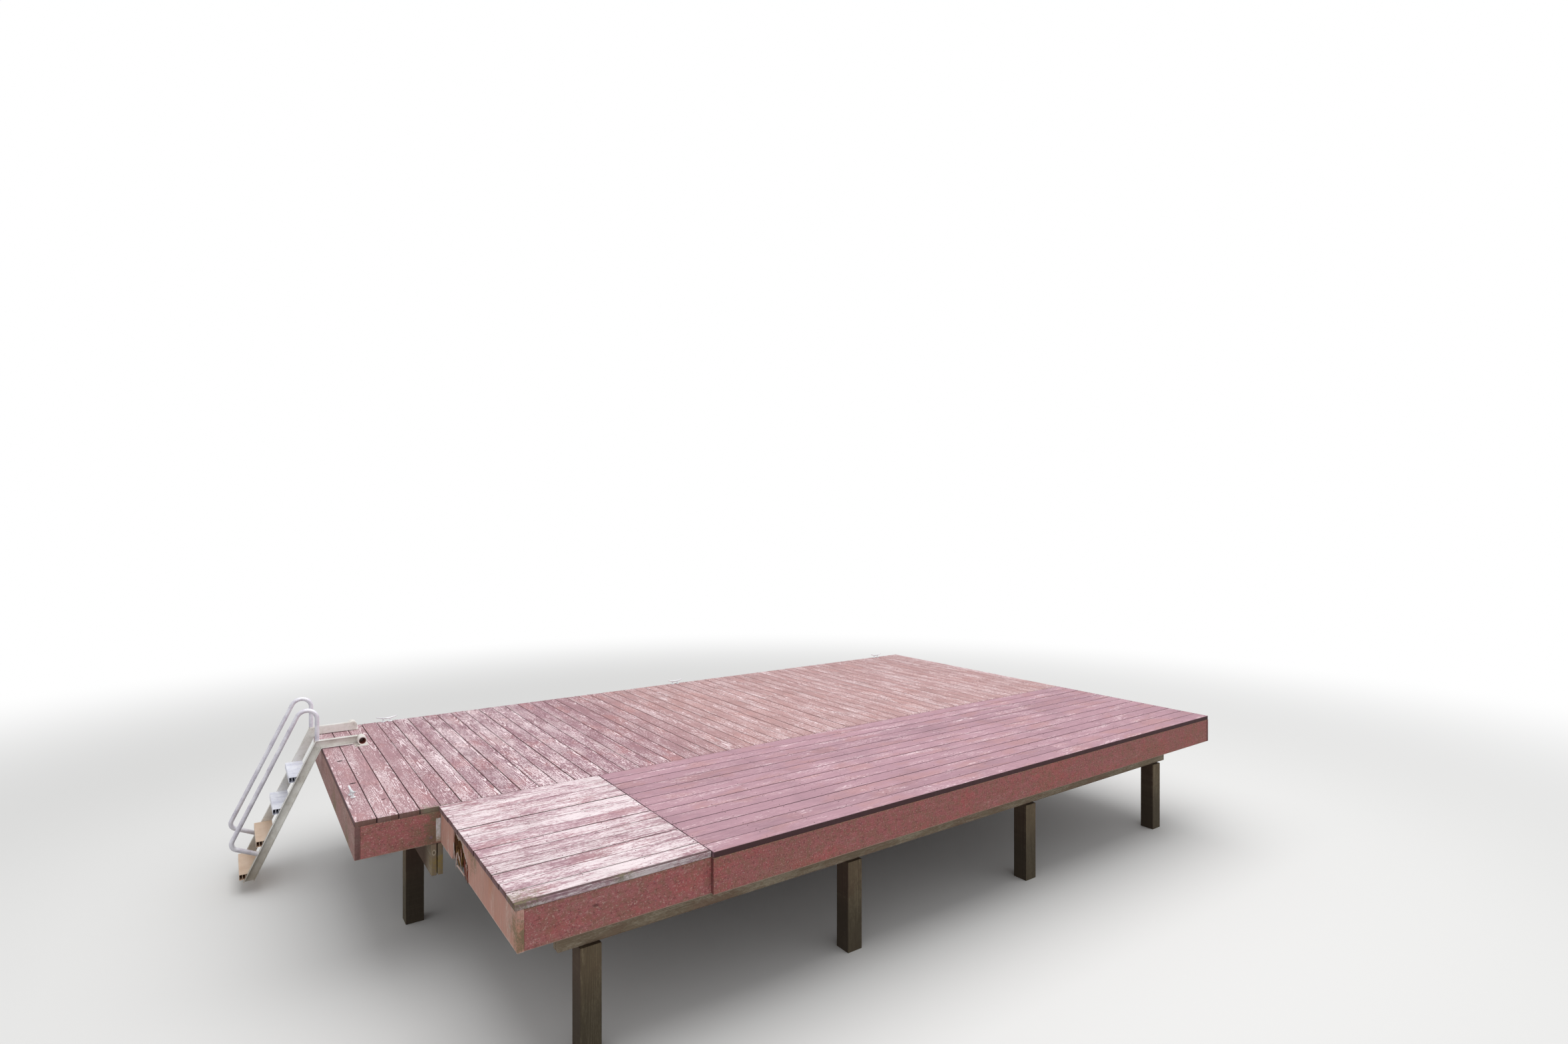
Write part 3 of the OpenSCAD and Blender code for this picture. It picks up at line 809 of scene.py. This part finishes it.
def board_row_tree():
    """Lays a board again and again, each a little out of line, bowed, cupped and crooked."""
    desk, given = new_group(
        "row of boards",
        {"Board": "Geometry", "Count": 1, "First": "Vector", "Step": "Vector", "Grain": "Vector",
         "Seed": 0, "End wander": 0.002, "Side wander": 0.001, "Lift": 0.001, "Half width": 0.07,
         "Finish": "Material"},
        ("Boards",), "Geometry")

    def times(vector, factor):
        return desk.node("ShaderNodeVectorMath", {0: vector, "Scale": factor}, operation="SCALE")[0]

    def stray(salt):
        return desk.any_of(-1.0, 1.0, given["Seed"] + salt)

    line = desk.geometry("MeshLine", {"Count": given["Count"], "Start Location": given["First"],
                                      "Offset": given["Step"]}, mode="OFFSET")
    side = desk.vectors("NORMALIZE", given["Step"])
    marked = desk.geometry("StoreNamedAttribute", {"Geometry": line, "Name": "board_id",
                                                   "Value": desk.any_of(0.0, 1.0, given["Seed"] + 1)},
                           data_type="FLOAT", domain="POINT")
    plain = desk.geometry("RemoveAttribute", {"Geometry": given["Board"], "Name": "board_id"})
    laid = desk.geometry("InstanceOnPoints", {"Points": marked, "Instance": plain})
    shift = desk.vectors("ADD", times(given["Grain"], stray(2) * given["End wander"]),
                         times(side, stray(3) * given["Side wander"]))
    laid = desk.geometry("TranslateInstances", {"Instances": laid, "Translation": shift,
                                                "Local Space": False})
    real = desk.geometry("RealizeInstances", {"Geometry": laid})
    at = desk.geometry("InputNamedAttribute", {"Name": "grain_at"}, data_type="FLOAT_VECTOR")
    own = desk.geometry("InputNamedAttribute", {"Name": "board_id"}, data_type="FLOAT")
    along, across = desk.split(at)[:2]
    bow, crook, twist = [desk.noise(desk.vector(along * pace, own * stride, salt)) - 0.5
                         for pace, stride, salt in ((0.8, 71.0, 3.0), (0.6, 37.0, 9.0), (0.5, 19.0, 5.0))]
    edge = across / given["Half width"]
    rise = (bow + twist * edge + edge * edge * (own - 0.5) * 0.6) * given["Lift"] * 2.0
    bent = desk.vectors("ADD", times(side, crook * given["Side wander"] * 3.0),
                        desk.vector(0.0, 0.0, rise))
    shaped = desk.geometry("SetPosition", {"Geometry": real, "Offset": bent})
    done = desk.geometry("SetMaterial", {"Geometry": shaped, "Material": given["Finish"]})
    return end_group(desk, Boards=done)


def fastener_tree():
    """Sets a flat head on a washer at every point, turned to the point's facing."""
    desk, given = new_group(
        "fasteners",
        {"Points": "Geometry", "Sides": 8, "Head radius": 0.004, "Head height": 0.002,
         "Washer radius": 0.004, "Washer height": 0.001, "Seed": 0, "Finish": "Material"},
        ("Heads",), "Geometry")

    def disc(part, taper):
        radius = given[part + " radius"]
        return desk.geometry("MeshCone", {"Vertices": given["Sides"], "Radius Top": radius * taper,
                                          "Radius Bottom": radius, "Depth": given[part + " height"]})

    lift = desk.vector(0.0, 0.0, given["Washer height"] * 0.8)
    lifted = desk.geometry("Transform", {"Geometry": disc("Head", 0.66), "Translation": lift})
    both = desk.node("GeometryNodeJoinGeometry", (disc("Washer", 0.94),))
    desk.feed(both.made.inputs[0], lifted)
    facing = desk.geometry("InputNamedAttribute", {"Name": "facing"}, data_type="FLOAT_VECTOR")
    turned = desk.node("FunctionNodeAlignRotationToVector", {"Vector": facing}, axis="Z")[0]
    spread = desk.geometry("InstanceOnPoints", {"Points": given["Points"], "Instance": both[0],
                                                "Rotation": turned,
                                                "Scale": desk.any_of(0.88, 1.08, given["Seed"])})
    return end_group(desk, Heads=finish_instances(desk, spread, given["Finish"]))


def weld_tree():
    """Follows a path with overlapping drops of weld metal."""
    desk, given = new_group(
        "weld bead", {"Path": "Geometry", "Drop": 0.003, "Spacing": 0.004, "Seed": 0, "Finish": "Material"},
        ("Bead",), "Geometry")
    curve = desk.geometry("MeshToCurve", {"Mesh": given["Path"]})
    even = desk.geometry("ResampleCurve", {"Curve": curve, "Length": given["Spacing"]}, mode="LENGTH")
    points = desk.geometry("CurveToPoints", {"Curve": even}, mode="EVALUATED")
    drop = desk.geometry("MeshUVSphere", {"Segments": 8, "Rings": 5, "Radius": given["Drop"]})
    laid = desk.geometry("InstanceOnPoints", {"Points": points, "Instance": drop,
                                              "Scale": desk.any_of(0.8, 1.15, given["Seed"])})
    return end_group(desk, Bead=finish_instances(desk, laid, given["Finish"], smooth=True))


BOARD_ROW = board_row_tree()
FASTENERS = fastener_tree()
WELD = weld_tree()


def lay_boards(name, plan, count, first, step, finish, seed, ends, sides, lift=0.0008):
    """Row of equal boards; plan is a board's size in X and Y, first the deck X and Y of its middle."""
    size = (*plan, BOARD_THICK - SUNK)
    half = Vector(size) / 2
    shape = new_timber_shape()
    add_timber(shape, -half, half, 0.5, slack=0.0)
    board = settle(name, shape, finish)
    return apply_tree(board, BOARD_ROW, {
        "Count": count, "First": tuple(deck(*first, BOARD_MIDDLE)), "Step": step,
        "Grain": [1.0 if length == max(size) else 0.0 for length in size], "Seed": seed,
        "End wander": ends, "Side wander": sides, "Lift": lift,
        "Half width": sorted(size)[1] / 2, "Finish": finish})


def set_fasteners(name, points, finish, head, rise, washer=None, sides=8):
    """Heads on washers at a list of (place, facing) pairs on the jetty."""
    made = plain_object(name, [tuple(place) for place, facing in points])
    layer = made.data.attributes.new("facing", "FLOAT_VECTOR", "POINT")
    layer.data.foreach_set("vector", [value for place, facing in points for value in facing])
    apply_tree(made, FASTENERS, {
        "Sides": sides, "Head radius": head, "Head height": rise, "Washer radius": washer or head,
        "Washer height": WASHER_HEIGHT, "Seed": 3, "Finish": finish})
    claim(made, "jetty", "zinc_steel")


def lay_welds(name, paths, finish, body, drop, spacing):
    """Weld beads along closed or open paths, each a list of points and whether it closes."""
    corners = []
    edges = []
    for points, closed in paths:
        start = len(corners)
        corners += [tuple(point) for point in points]
        edges += [(start + i, start + i + 1) for i in range(len(points) - 1)]
        if closed:
            edges.append((start + len(points) - 1, start))
    made = plain_object(name, corners, edges)
    apply_tree(made, WELD, {"Drop": drop, "Spacing": spacing, "Seed": 5, "Finish": finish})
    claim(made, body, "ladder_metal")


# Decks

def outer_boards():
    """Boards across the outer deck, in three rows with their own spacing; returns their middles."""
    parts = []
    middles = []
    left = 0.0
    for number, (count, pitch) in enumerate(OUTER_ROWS):
        plan = (pitch - OUTER_GAP, OUTER_WIDTH - 0.005)
        parts.append(lay_boards("outer_boards_%d" % number, plan, count, (left + pitch / 2, OUTER_WIDTH / 2),
                                (pitch, 0.0, 0.0), PEELED_BOARDS, seed=11 + number, ends=0.002,
                                sides=0.0009))
        middles += [left + (i + 0.5) * pitch for i in range(count)]
        left += count * pitch
    claim(joined("outer_boards", parts), "jetty", "peeled_boards", "outer_decking")
    return middles


def inner_boards():
    """Boards along the inner deck: full lengths, and one row with a joint in it."""
    butt_row = 11
    butt_x = 5.588
    start = INNER_LOW.x + 0.004
    stop = OUTER_LENGTH - 0.002
    parts = []
    for number, (row, count, left, right) in enumerate((
            (0, butt_row, start, stop), (butt_row, 1, start, butt_x - 0.001),
            (butt_row, 1, butt_x + 0.001, stop), (butt_row + 1, 1, start, stop))):
        first = ((left + right) / 2, -(row + 0.5) * INNER_PITCH)
        parts.append(lay_boards("inner_boards_%d" % number, (right - left, INNER_PITCH - INNER_GAP), count,
                                first, (0.0, -INNER_PITCH, 0.0), STAINED_BOARDS, seed=21 + number,
                                ends=0.001, sides=0.0006))
    claim(joined("inner_boards", parts), "jetty", "stained_boards", "inner_decking")


def platform_boards():
    """Boards along the side platform, in packs with a wide gap after each, and a split last board."""
    left = PLATFORM_LOW.x
    right = PLATFORM_HIGH.x - 0.001
    middle = (left + right) / 2
    wide = 0.1372
    packed = (0.0, -0.1390, 0.0)
    parts = []
    for number, (row, count) in enumerate(((0, 4), (4, 3), (7, 3), (10, 2))):
        first = (middle, -row * PLATFORM_PITCH - wide / 2 - 0.001)
        parts.append(lay_boards("platform_boards_%d" % number, (right - left - 0.004, wide), count, first,
                                packed, PLATFORM_BOARDS, seed=41 + number, ends=0.002, sides=0.0008,
                                lift=0.0012))
    last = (PLATFORM_COUNT - 1) * PLATFORM_PITCH + 0.001
    sliver = 0.028
    split = -PLATFORM_LOW.y - sliver
    for number, (near, far) in enumerate(((last, split - 0.0008), (split, -PLATFORM_LOW.y))):
        parts.append(lay_boards("platform_edge_%d" % number, (right - left - 0.002, far - near), 1,
                                (middle, -(near + far) / 2), packed, PLATFORM_BOARDS, seed=61 + number,
                                ends=0.0, sides=0.0))
    claim(joined("platform_boards", parts), "jetty", "platform_boards", "platform_decking")


def screws(middles, supports, across_stray, along_stray, depth, crosswise=False):
    """Two screws wherever a board, given by its middle, crosses a support; crosswise boards run in Y."""
    points = []
    for middle in middles:
        for support in supports:
            for side in (-SCREW_INSET, SCREW_INSET):
                across = middle + side + dice.uniform(-across_stray, across_stray)
                along = support + dice.uniform(-along_stray, along_stray)
                spot = (across, along) if crosswise else (along, across)
                points.append((deck(*spot, -depth), UP))
    return points


def deck_screws(outer_middles):
    """Screws of the three decks, over their joists and rims."""
    inner_middles = [-(row + 0.5) * INNER_PITCH for row in range(INNER_COUNT)]
    platform_middles = [-(row + 0.5) * PLATFORM_PITCH for row in range(PLATFORM_COUNT)]
    outer_supports = [RIM_THICK / 2] + OUTER_JOISTS + [OUTER_WIDTH - RIM_THICK / 2]
    inner_supports = INNER_JOISTS + [OUTER_LENGTH - RIM_THICK / 2]
    platform_supports = PLATFORM_JOISTS + [PLATFORM_HIGH.x - RIM_THICK / 2]
    points = screws(outer_middles, outer_supports, across_stray=0.006, along_stray=0.008, depth=0.0012,
                    crosswise=True)
    points += screws(inner_middles, inner_supports, across_stray=0.005, along_stray=0.008, depth=0.0022)
    points += screws(platform_middles, platform_supports, across_stray=0.005, along_stray=0.006,
                     depth=0.0024)
    set_fasteners("deck_screws", points, SCREW_METAL, head=0.0037, rise=0.003)


board_middles = outer_boards()
inner_boards()
platform_boards()
deck_screws(board_middles)


# Frame under the decks

BEAMS = ("beam_left", "beam_mid_left", "beam_mid_right", "beam_right", "bank_beam")
for slot, finish, nodes in (
        ("painted_rims", PAINTED_RIMS,
         ("front_fascia", "inner_near_rim", "inner_right_rim", "platform_near_rim")),
        ("painted_rims", WORN_RIMS, ("river_fascia", "left_rim", "right_rim")),
        ("frame_timber", FRAME_TIMBER, ("outer_joists", "ledger", "inner_joists", "platform_joists")),
        ("beam_timber", BEAM_TIMBER, BEAMS),
        ("post_timber", POST_TIMBER,
         ("posts_left", "posts_mid_left", "posts_mid_right", "posts_right", "bank_posts"))):
    for node in nodes:
        timber_piece(node, finish, slot)


# Skirt of the platform: lines in deck Y and Z where its sound parts are torn

SKIRT_TOP = -BOARD_THICK
TOP_LINE = ((0.0, SKIRT_TOP), (SKIRT_END, SKIRT_TOP))
FOOT_LINE = ((0.0, SKIRT_FOOT), (SKIRT_END, SKIRT_FOOT))
FRONT_TEAR = ((-0.352, SKIRT_FOOT), (-0.372, -0.225), (-0.388, -0.167), (-0.396, -0.083),
              (-0.402, SKIRT_TOP))
BACK_TEAR = ((-0.438, SKIRT_TOP), (-0.527, -0.048), (-0.601, -0.058), (-0.654, -0.076), (-0.706, -0.106),
             (-0.772, -0.148), (-0.800, -0.188), (-0.806, SKIRT_FOOT))
SOUND_AGAIN = -0.804


def height_on(line, y):
    """Height of a line of deck Y and Z over one Y."""
    for (y0, z0), (y1, z1) in zip(line, line[1:]):
        if y1 <= y <= y0:
            return z0 + (z1 - z0) * (y - y0) / (y1 - y0)
    return line[0][1] if y > line[0][0] else line[-1][1]


def add_slats(shape, start, stop, low, high, depth, board_id, recess=0.0, bite=0.0, step=0.005):
    """Upright panel between two places along Y; its lower edge follows a line and breaks into teeth."""
    count = max(2, round(abs(stop - start) / step))
    rings = []
    for i in range(count + 1):
        y = start + (stop - start) * i / count
        ceiling = height_on(high, y)
        tooth = bite * dice.random() ** 1.5
        foot = min(max(height_on(low, y) - tooth, SKIRT_FOOT), ceiling - 0.001)
        ring = []
        for x, z in ((0.0, foot), (0.0, ceiling), (depth, ceiling), (depth, foot)):
            vertex = shape.verts.new(deck(SKIRT_X + recess + x, y, z))
            mark(shape, vertex, (z, y, x), board_id)
            ring.append(vertex)
        rings.append(ring)
    skin_rings(shape, rings)


def add_fibre(shape, y, top, foot, wide, thick, recess, board_id, lean):
    """Upright sliver of wood, thinner towards its two tips and a little bent."""
    stations = 6
    rings = []
    for i in range(stations + 1):
        share = i / stations
        z = top + (foot - top) * share
        full = min(1.0, 0.5 + share * 4, 0.1 + (1 - share) * 2.2)
        wave = math.sin(share * 5 + board_id * 20) * 0.0012
        middle = y + lean * share + wave
        ring = []
        for a, b in ((-0.5, 0.0), (-0.2, -0.5), (0.3, -0.4), (0.5, 0.1), (0.1, 0.5)):
            x = SKIRT_X + recess + thick / 2 + b * thick * full
            side = middle + a * wide * full
            vertex = shape.verts.new(deck(x, side, z))
            mark(shape, vertex, (z, side, b * thick), board_id)
            ring.append(vertex)
        rings.append(ring)
    skin_rings(shape, rings)


def skirt_piece(name, shape, finish):
    """One of the pieces that stand for the skirt."""
    claim(settle(name, shape, finish), "jetty", "painted_rims", "platform_skirt")


def skirt_panels():
    """Two sound parts with torn edges."""
    shape = new_timber_shape()
    front, front_top, back_top = FRONT_TEAR[0][0], FRONT_TEAR[-1][0], BACK_TEAR[0][0]
    near_board = 0.31
    far_board = 0.62
    add_slats(shape, 0.0, front, FOOT_LINE, TOP_LINE, RIM_THICK, near_board, step=0.2)
    add_slats(shape, front, front_top, FRONT_TEAR, TOP_LINE, RIM_THICK, near_board, bite=0.030, step=0.004)
    add_slats(shape, back_top, SOUND_AGAIN, BACK_TEAR, TOP_LINE, RIM_THICK, far_board, bite=0.012)
    add_slats(shape, SOUND_AGAIN, SKIRT_END, FOOT_LINE, TOP_LINE, RIM_THICK, far_board, step=0.2)
    skirt_piece("skirt_panels", shape, SKIRT_BOARDS)


def rotten_fibres():
    """Rotten core behind the hole, a curtain of fibres on it, and longer ones that hold the foot strip."""
    shape = new_timber_shape()
    core = ((-0.375, -0.238), (-0.452, -0.228), (-0.590, -0.236), (-0.724, -0.230), (-0.806, -0.244))
    behind = 0.021
    add_slats(shape, core[0][0], core[-1][0], core, TOP_LINE, RIM_THICK - behind, 0.45, recess=behind,
              bite=0.028)
    count = 78
    for number in range(count):
        y = -0.378 - 0.424 * number / (count - 1) + dice.uniform(-0.003, 0.003)
        low = -0.222 - 0.044 * dice.random()
        add_fibre(shape, y, SKIRT_TOP - 0.002, low, wide=dice.uniform(0.005, 0.012),
                  thick=dice.uniform(0.005, 0.011), recess=dice.uniform(0.006, 0.014),
                  board_id=dice.random(), lean=dice.uniform(-0.006, 0.006))
    for y, high, low, lean in ((-0.462, -0.150, -0.282, 0.010), (-0.474, -0.140, -0.290, 0.012),
                               (-0.505, -0.140, -0.272, -0.004), (-0.520, -0.150, -0.274, -0.012),
                               (-0.538, -0.160, -0.270, -0.010), (-0.606, -0.170, -0.268, -0.006)):
        add_fibre(shape, y, high, low, wide=0.013, thick=0.010, recess=0.001, board_id=dice.random(),
                  lean=lean)
    skirt_piece("rotten_fibres", shape, ROTTEN_WOOD)


def red_fibres():
    """Red splinters at the sound end of the hole, and a few that slant across it."""
    shape = new_timber_shape()
    count = 22
    start = -0.694
    for number in range(count):
        y = start - 0.112 * number / (count - 1)
        add_fibre(shape, y, -0.158 - 0.5 * (start - y), SKIRT_FOOT + 0.004 - 0.020 * dice.random(),
                  wide=dice.uniform(0.008, 0.014), thick=0.008, recess=dice.uniform(-0.004, 0.004),
                  board_id=dice.random(), lean=dice.uniform(-0.012, 0.012))
    for y, high, low, lean in ((-0.500, -0.170, -0.232, -0.060), (-0.530, -0.188, -0.246, -0.050),
                               (-0.476, -0.196, -0.250, -0.040), (-0.585, -0.120, -0.226, -0.020)):
        add_fibre(shape, y, high, low, wide=0.014, thick=0.009, recess=0.001, board_id=dice.random(),
                  lean=lean)
    skirt_piece("red_fibres", shape, RED_SPLINTERS)


def pale_splinters():
    """Pale split strips along the tear, the foot strip that still hangs, and loose slivers."""
    shape = new_timber_shape()
    for begin, end, line, wide in (
            (-0.474, -0.552, ((-0.474, -0.042), (-0.552, -0.062)), 0.020),
            (-0.566, -0.690, ((-0.560, -0.050), (-0.620, -0.056), (-0.690, -0.074)), 0.014),
            (-0.648, -0.776, ((-0.648, -0.078), (-0.700, -0.106), (-0.776, -0.152)), 0.018),
            (-0.500, -0.704, ((-0.500, -0.266), (-0.704, -0.264)), 0.007)):
        lower = [(y, z - wide * 0.4) for y, z in line]
        upper = [(y, z + wide * 0.4) for y, z in line]
        add_slats(shape, begin, end, lower, upper, depth=0.007, board_id=dice.random(), recess=-0.003,
                  bite=wide * 0.6, step=0.006)
    for y, high, low, wide, lean in (
            (-0.392, -0.140, -0.272, 0.015, -0.012), (-0.409, -0.196, -0.262, 0.007, -0.010),
            (-0.484, -0.186, -0.311, 0.022, 0.028), (-0.512, -0.168, -0.226, 0.010, -0.056),
            (-0.545, -0.186, -0.238, 0.009, -0.050), (-0.735, -0.176, -0.240, 0.010, -0.020),
            (-0.770, -0.196, -0.262, 0.008, -0.012), (-0.812, -0.190, -0.284, 0.009, -0.004)):
        add_fibre(shape, y, high, low, wide, thick=0.008, recess=-0.002, board_id=dice.random(), lean=lean)
    skirt_piece("pale_splinters", shape, PALE_SPLINTERS)


skirt_panels()
rotten_fibres()
red_fibres()
pale_splinters()


# Nails and bolts of the frame

def frame_nails():
    """Two nails in the rims at the end of every joist."""
    points = []
    heights = (-0.09, -0.21)
    for y in OUTER_JOISTS:
        for z in heights:
            points.append((deck(WASHER_HEIGHT, y + dice.uniform(-0.006, 0.006), z), (-1.0, 0.0, 0.0)))
            points.append((deck(OUTER_LENGTH - WASHER_HEIGHT, y, z), (1.0, 0.0, 0.0)))
    columns = [(x, INNER_LOW.y) for x in INNER_JOISTS] + [(x, SKIRT_END) for x in PLATFORM_JOISTS[1:]]
    for x, y in columns:
        for z in heights:
            spot = deck(x + dice.uniform(-0.006, 0.006), y + WASHER_HEIGHT, z)
            points.append((spot, (0.0, -1.0, 0.0)))
    set_fasteners("rim_nails", points, SCREW_METAL, head=0.0034, rise=0.001)


def beam_bolts():
    """Two bolts through each doubled beam over every post, and one in the fascia at the left beam."""
    post_rows = (0.900, 2.600)
    drops = (0.065, 0.170)
    fascia_bolt = deck(0.5007, -0.0002, -0.2213)
    points = []
    for node in BEAMS[:4]:
        low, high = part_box(node)
        for row in post_rows:
            for drop in drops:
                for x, facing in ((low.x, -1.0), (high.x, 1.0)):
                    points.append((Vector((x, deck(0, row, 0).y, high.z - drop)), (facing, 0.0, 0.0)))
    points.append((fascia_bolt, (0.0, -1.0, 0.0)))
    set_fasteners("beam_bolts", points, SCREW_METAL, head=0.009, rise=0.005, washer=0.014, sides=6)


frame_nails()
beam_bolts()


# Strap and cleats

def strap():
    """Zinc strap with three nails, on the fascia beside the skirt."""
    low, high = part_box("corner_strap")
    size = high - low
    shape = bmesh.new()
    bmesh.ops.create_cube(shape, size=1.0)
    for vertex in shape.verts:
        vertex.co = (low + high) / 2 + Vector([vertex.co[i] * size[i] for i in range(3)])
    bmesh.ops.bevel(shape, geom=shape.edges[:], offset=0.0009, segments=2, affect="EDGES")
    claim(settle("strap_plate", shape, STRAP_METAL), "jetty", "zinc_steel", "corner_strap")
    middle = (low.x + high.x) / 2
    points = [(Vector((middle + aside, low.y + 0.0004, high.z - drop)), (0.0, -1.0, 0.0))
              for aside, drop in ((-0.006, 0.02), (0.005, 0.07), (-0.003, 0.15))]
    set_fasteners("strap_nails", points, CLEAT_METAL, head=0.0035, rise=0.0008)


def cleat(node, turn):
    """Slender galvanised cleat: a bar that curves up at both horns, on two legs with round pads."""
    low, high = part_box(node)
    centre = Vector(((low.x + high.x) / 2, (low.y + high.y) / 2, low.z))
    along = Vector((math.cos(turn), math.sin(turn), 0.0))
    side = Vector((-along.y, along.x, 0.0))
    half = max(high.x - low.x, high.y - low.y) / 2 - 0.001
    bar_height = 0.036
    horn_rise = 0.021
    leg_place = 0.034
    shape = bmesh.new()
    rings = []
    steps = 20
    for i in range(steps + 1):
        share = -1 + 2 * i / steps
        tip = max(0.0, abs(share) - 0.94) / 0.06
        radius = (0.0085 - 0.003 * abs(share)) * math.sqrt(max(0.04, 1 - tip * tip))
        spot = centre + along * (share * (half - 0.002)) + UP * (bar_height + horn_rise * share * share)
        rings.append(tube_ring(shape, spot, side, UP, radius * 1.15, radius, 12))
    skin_rings(shape, rings)
    leg = ((0.004, 0.011), (0.010, 0.0085), (0.026, 0.0075), (0.040, 0.0085))
    pad = ((0.0, 0.019), (0.003, 0.019), (0.0055, 0.016))
    for place in (-leg_place, leg_place):
        for profile, oval, count in ((leg, 1.0, 10), (pad, 1.1, 16)):
            skin_rings(shape, [tube_ring(shape, centre + along * place + UP * height, side, along, radius,
                                         radius * oval, count) for height, radius in profile])
    claim(settle(node + "_bar", shape, CLEAT_METAL, smooth=True), "jetty", "zinc_steel", node)


strap()
cleat("cleat_left", math.radians(96))
for node in ("cleat_river_left", "cleat_river_mid", "cleat_river_right"):
    cleat(node, 0.0)


# Ladder

for finish, nodes in (
        (LADDER_METAL, ("arm_near", "arm_far", "stringer_near", "stringer_far")),
        (RAIL_METAL, ("rail_bow_near", "rail_bow_far", "rail_run_near", "rail_run_far")),
        (TREAD_METAL, ("tread_1", "tread_2", "tread_3", "tread_4")),
        (HINGE_METAL, ("hinge_bracket_near", "hinge_bracket_far"))):
    for node in nodes:
        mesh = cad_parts[node].data
        mesh.materials.clear()
        mesh.materials.append(finish)


def hinge_bolts():
    """Three bolts that hold each hinge plate to the deck."""
    points = []
    for node, toward in (("hinge_bracket_near", 1), ("hinge_bracket_far", -1)):
        low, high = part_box(node)
        outer = low.y if toward > 0 else high.y
        top = CORNER.z + 0.006
        for x, y in ((low.x + 0.011, 0.014), (high.x - 0.012, 0.014), (low.x + 0.011, 0.095)):
            points.append((Vector((x, outer + toward * y, top)), UP))
    set_fasteners("hinge_bolts", points, BOLT_METAL, head=0.0065, rise=0.005, washer=0.0095, sides=6)


def circle(centre, radius, count=20):
    """Points of a level circle."""
    angles = [math.tau * i / count for i in range(count)]
    return [centre + Vector((math.cos(angle), math.sin(angle), 0.0)) * radius for angle in angles]


def ladder_welds():
    """Beads at the mitre of each knee and round the foot of each handrail's leg."""
    paths = []
    tilt = math.tan(SLOPE / 2)
    leg_radius = 0.0195

    def on_mitre(y, height):
        return Vector((CORNER.x - tilt * height, y, CORNER.z + height))

    for side in (-1, 1):
        web = HINGE.y + side * (WEB_FACE + 0.0005)
        outer, inner = [HINGE.y + side * aside for aside in (HALF_LADDER - 0.0005, WEB_FACE - 0.0035)]
        paths.append(([on_mitre(web, height) for height in (0.011, 0.075)], False))
        paths.append(([on_mitre(y, CHANNEL_TOP) for y in (outer, inner)], False))
        leg = Vector((CORNER.x - RAIL_LEG, HINGE.y + side * RAIL_LINE, CORNER.z + CHANNEL_TOP))
        paths.append((circle(leg, leg_radius), True))
    lay_welds("ladder_welds", paths, LADDER_METAL, "ladder", drop=0.0022, spacing=0.0032)


def hinge_welds():
    """Beads along both sides of each sleeve, where it sits on its plate."""
    paths = []
    half_seat = 0.0115
    plate = 0.029
    for node, before, after in (("hinge_bracket_near", plate, 0.001), ("hinge_bracket_far", 0.001, plate)):
        low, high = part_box(node)
        for side in (-half_seat, half_seat):
            ends = [Vector((HINGE.x + side, y, CORNER.z + 0.0065)) for y in (low.y + before, high.y - after)]
            paths.append((ends, False))
    lay_welds("hinge_welds", paths, HINGE_METAL, "jetty", drop=0.003, spacing=0.0045)


hinge_bolts()
ladder_welds()
hinge_welds()


# Floor, light and camera

def seen_share(desk):
    """1 for what the camera sees, also in metal or through glass; 0 for light on its way."""
    path = desk.node("ShaderNodeLightPath")
    seen = path["Is Camera Ray"]
    for ray in ("Is Glossy Ray", "Is Transmission Ray"):
        seen = seen.math("MAXIMUM", path[ray])
    return seen


def floor():
    """Pale floor at the posts' feet that fades to white far off."""
    reach = 60.0
    ground = plain_object("floor", [(-reach, -reach, 0), (reach, -reach, 0), (reach, reach, 0),
                                    (-reach, reach, 0)], faces=[(0, 1, 2, 3)])
    made, desk, skin = new_material("pale_floor")
    seen = seen_share(desk)
    desk.feed(skin.inputs["Base Color"], desk.mix(seen, "#8f8f8d", "#f1f1f0"))
    skin.inputs["Roughness"].default_value = 1.0
    skin.inputs["Specular IOR Level"].default_value = 0.0
    away = desk.vectors("LENGTH", desk.place(), output="Value")
    glow = desk.node("ShaderNodeEmission", {"Color": (1, 1, 1, 1), "Strength": 1.0})
    blend = desk.node("ShaderNodeMixShader", (desk.ramp(away, 7.0, 16.0) * seen,
                                              Wire(desk, skin.outputs[0]), glow[0]))
    desk.feed(made.node_tree.nodes["Material Output"].inputs["Surface"], blend[0])
    ground.data.materials.append(made)


def studio_light():
    """Soft white surroundings, weaker than they look, and a broad soft lamp overhead."""
    world = bpy.data.worlds.new("studio")
    world.use_nodes = True
    bpy.context.scene.world = world
    desk = Desk(world.node_tree)
    back = world.node_tree.nodes["Background"]
    back.inputs["Color"].default_value = (1, 1, 1, 1)
    desk.feed(back.inputs["Strength"], seen_share(desk) * 0.40 + 0.60)
    lamp = bpy.data.lights.new("overhead", "AREA")
    lamp.shape = "RECTANGLE"
    lamp.size = 14.0
    lamp.size_y = 10.0
    lamp.energy = 640.0
    put("overhead", lamp).location = (1.0, -1.0, 9.0)


def camera():
    """Camera at the photograph's place and angle."""
    made = bpy.data.cameras.new("camera")
    made.lens = CAMERA_LENS
    made.sensor_width = SENSOR_WIDTH
    made.sensor_fit = "HORIZONTAL"
    made.clip_end = 200.0
    eye = put("camera", made)
    eye.location = CAMERA_PLACE
    eye.rotation_euler = (math.pi / 2, 0.0, -CAMERA_AZIMUTH)
    bpy.context.scene.camera = eye


floor()
studio_light()
camera()
bpy.context.scene.view_settings.view_transform = "Standard"
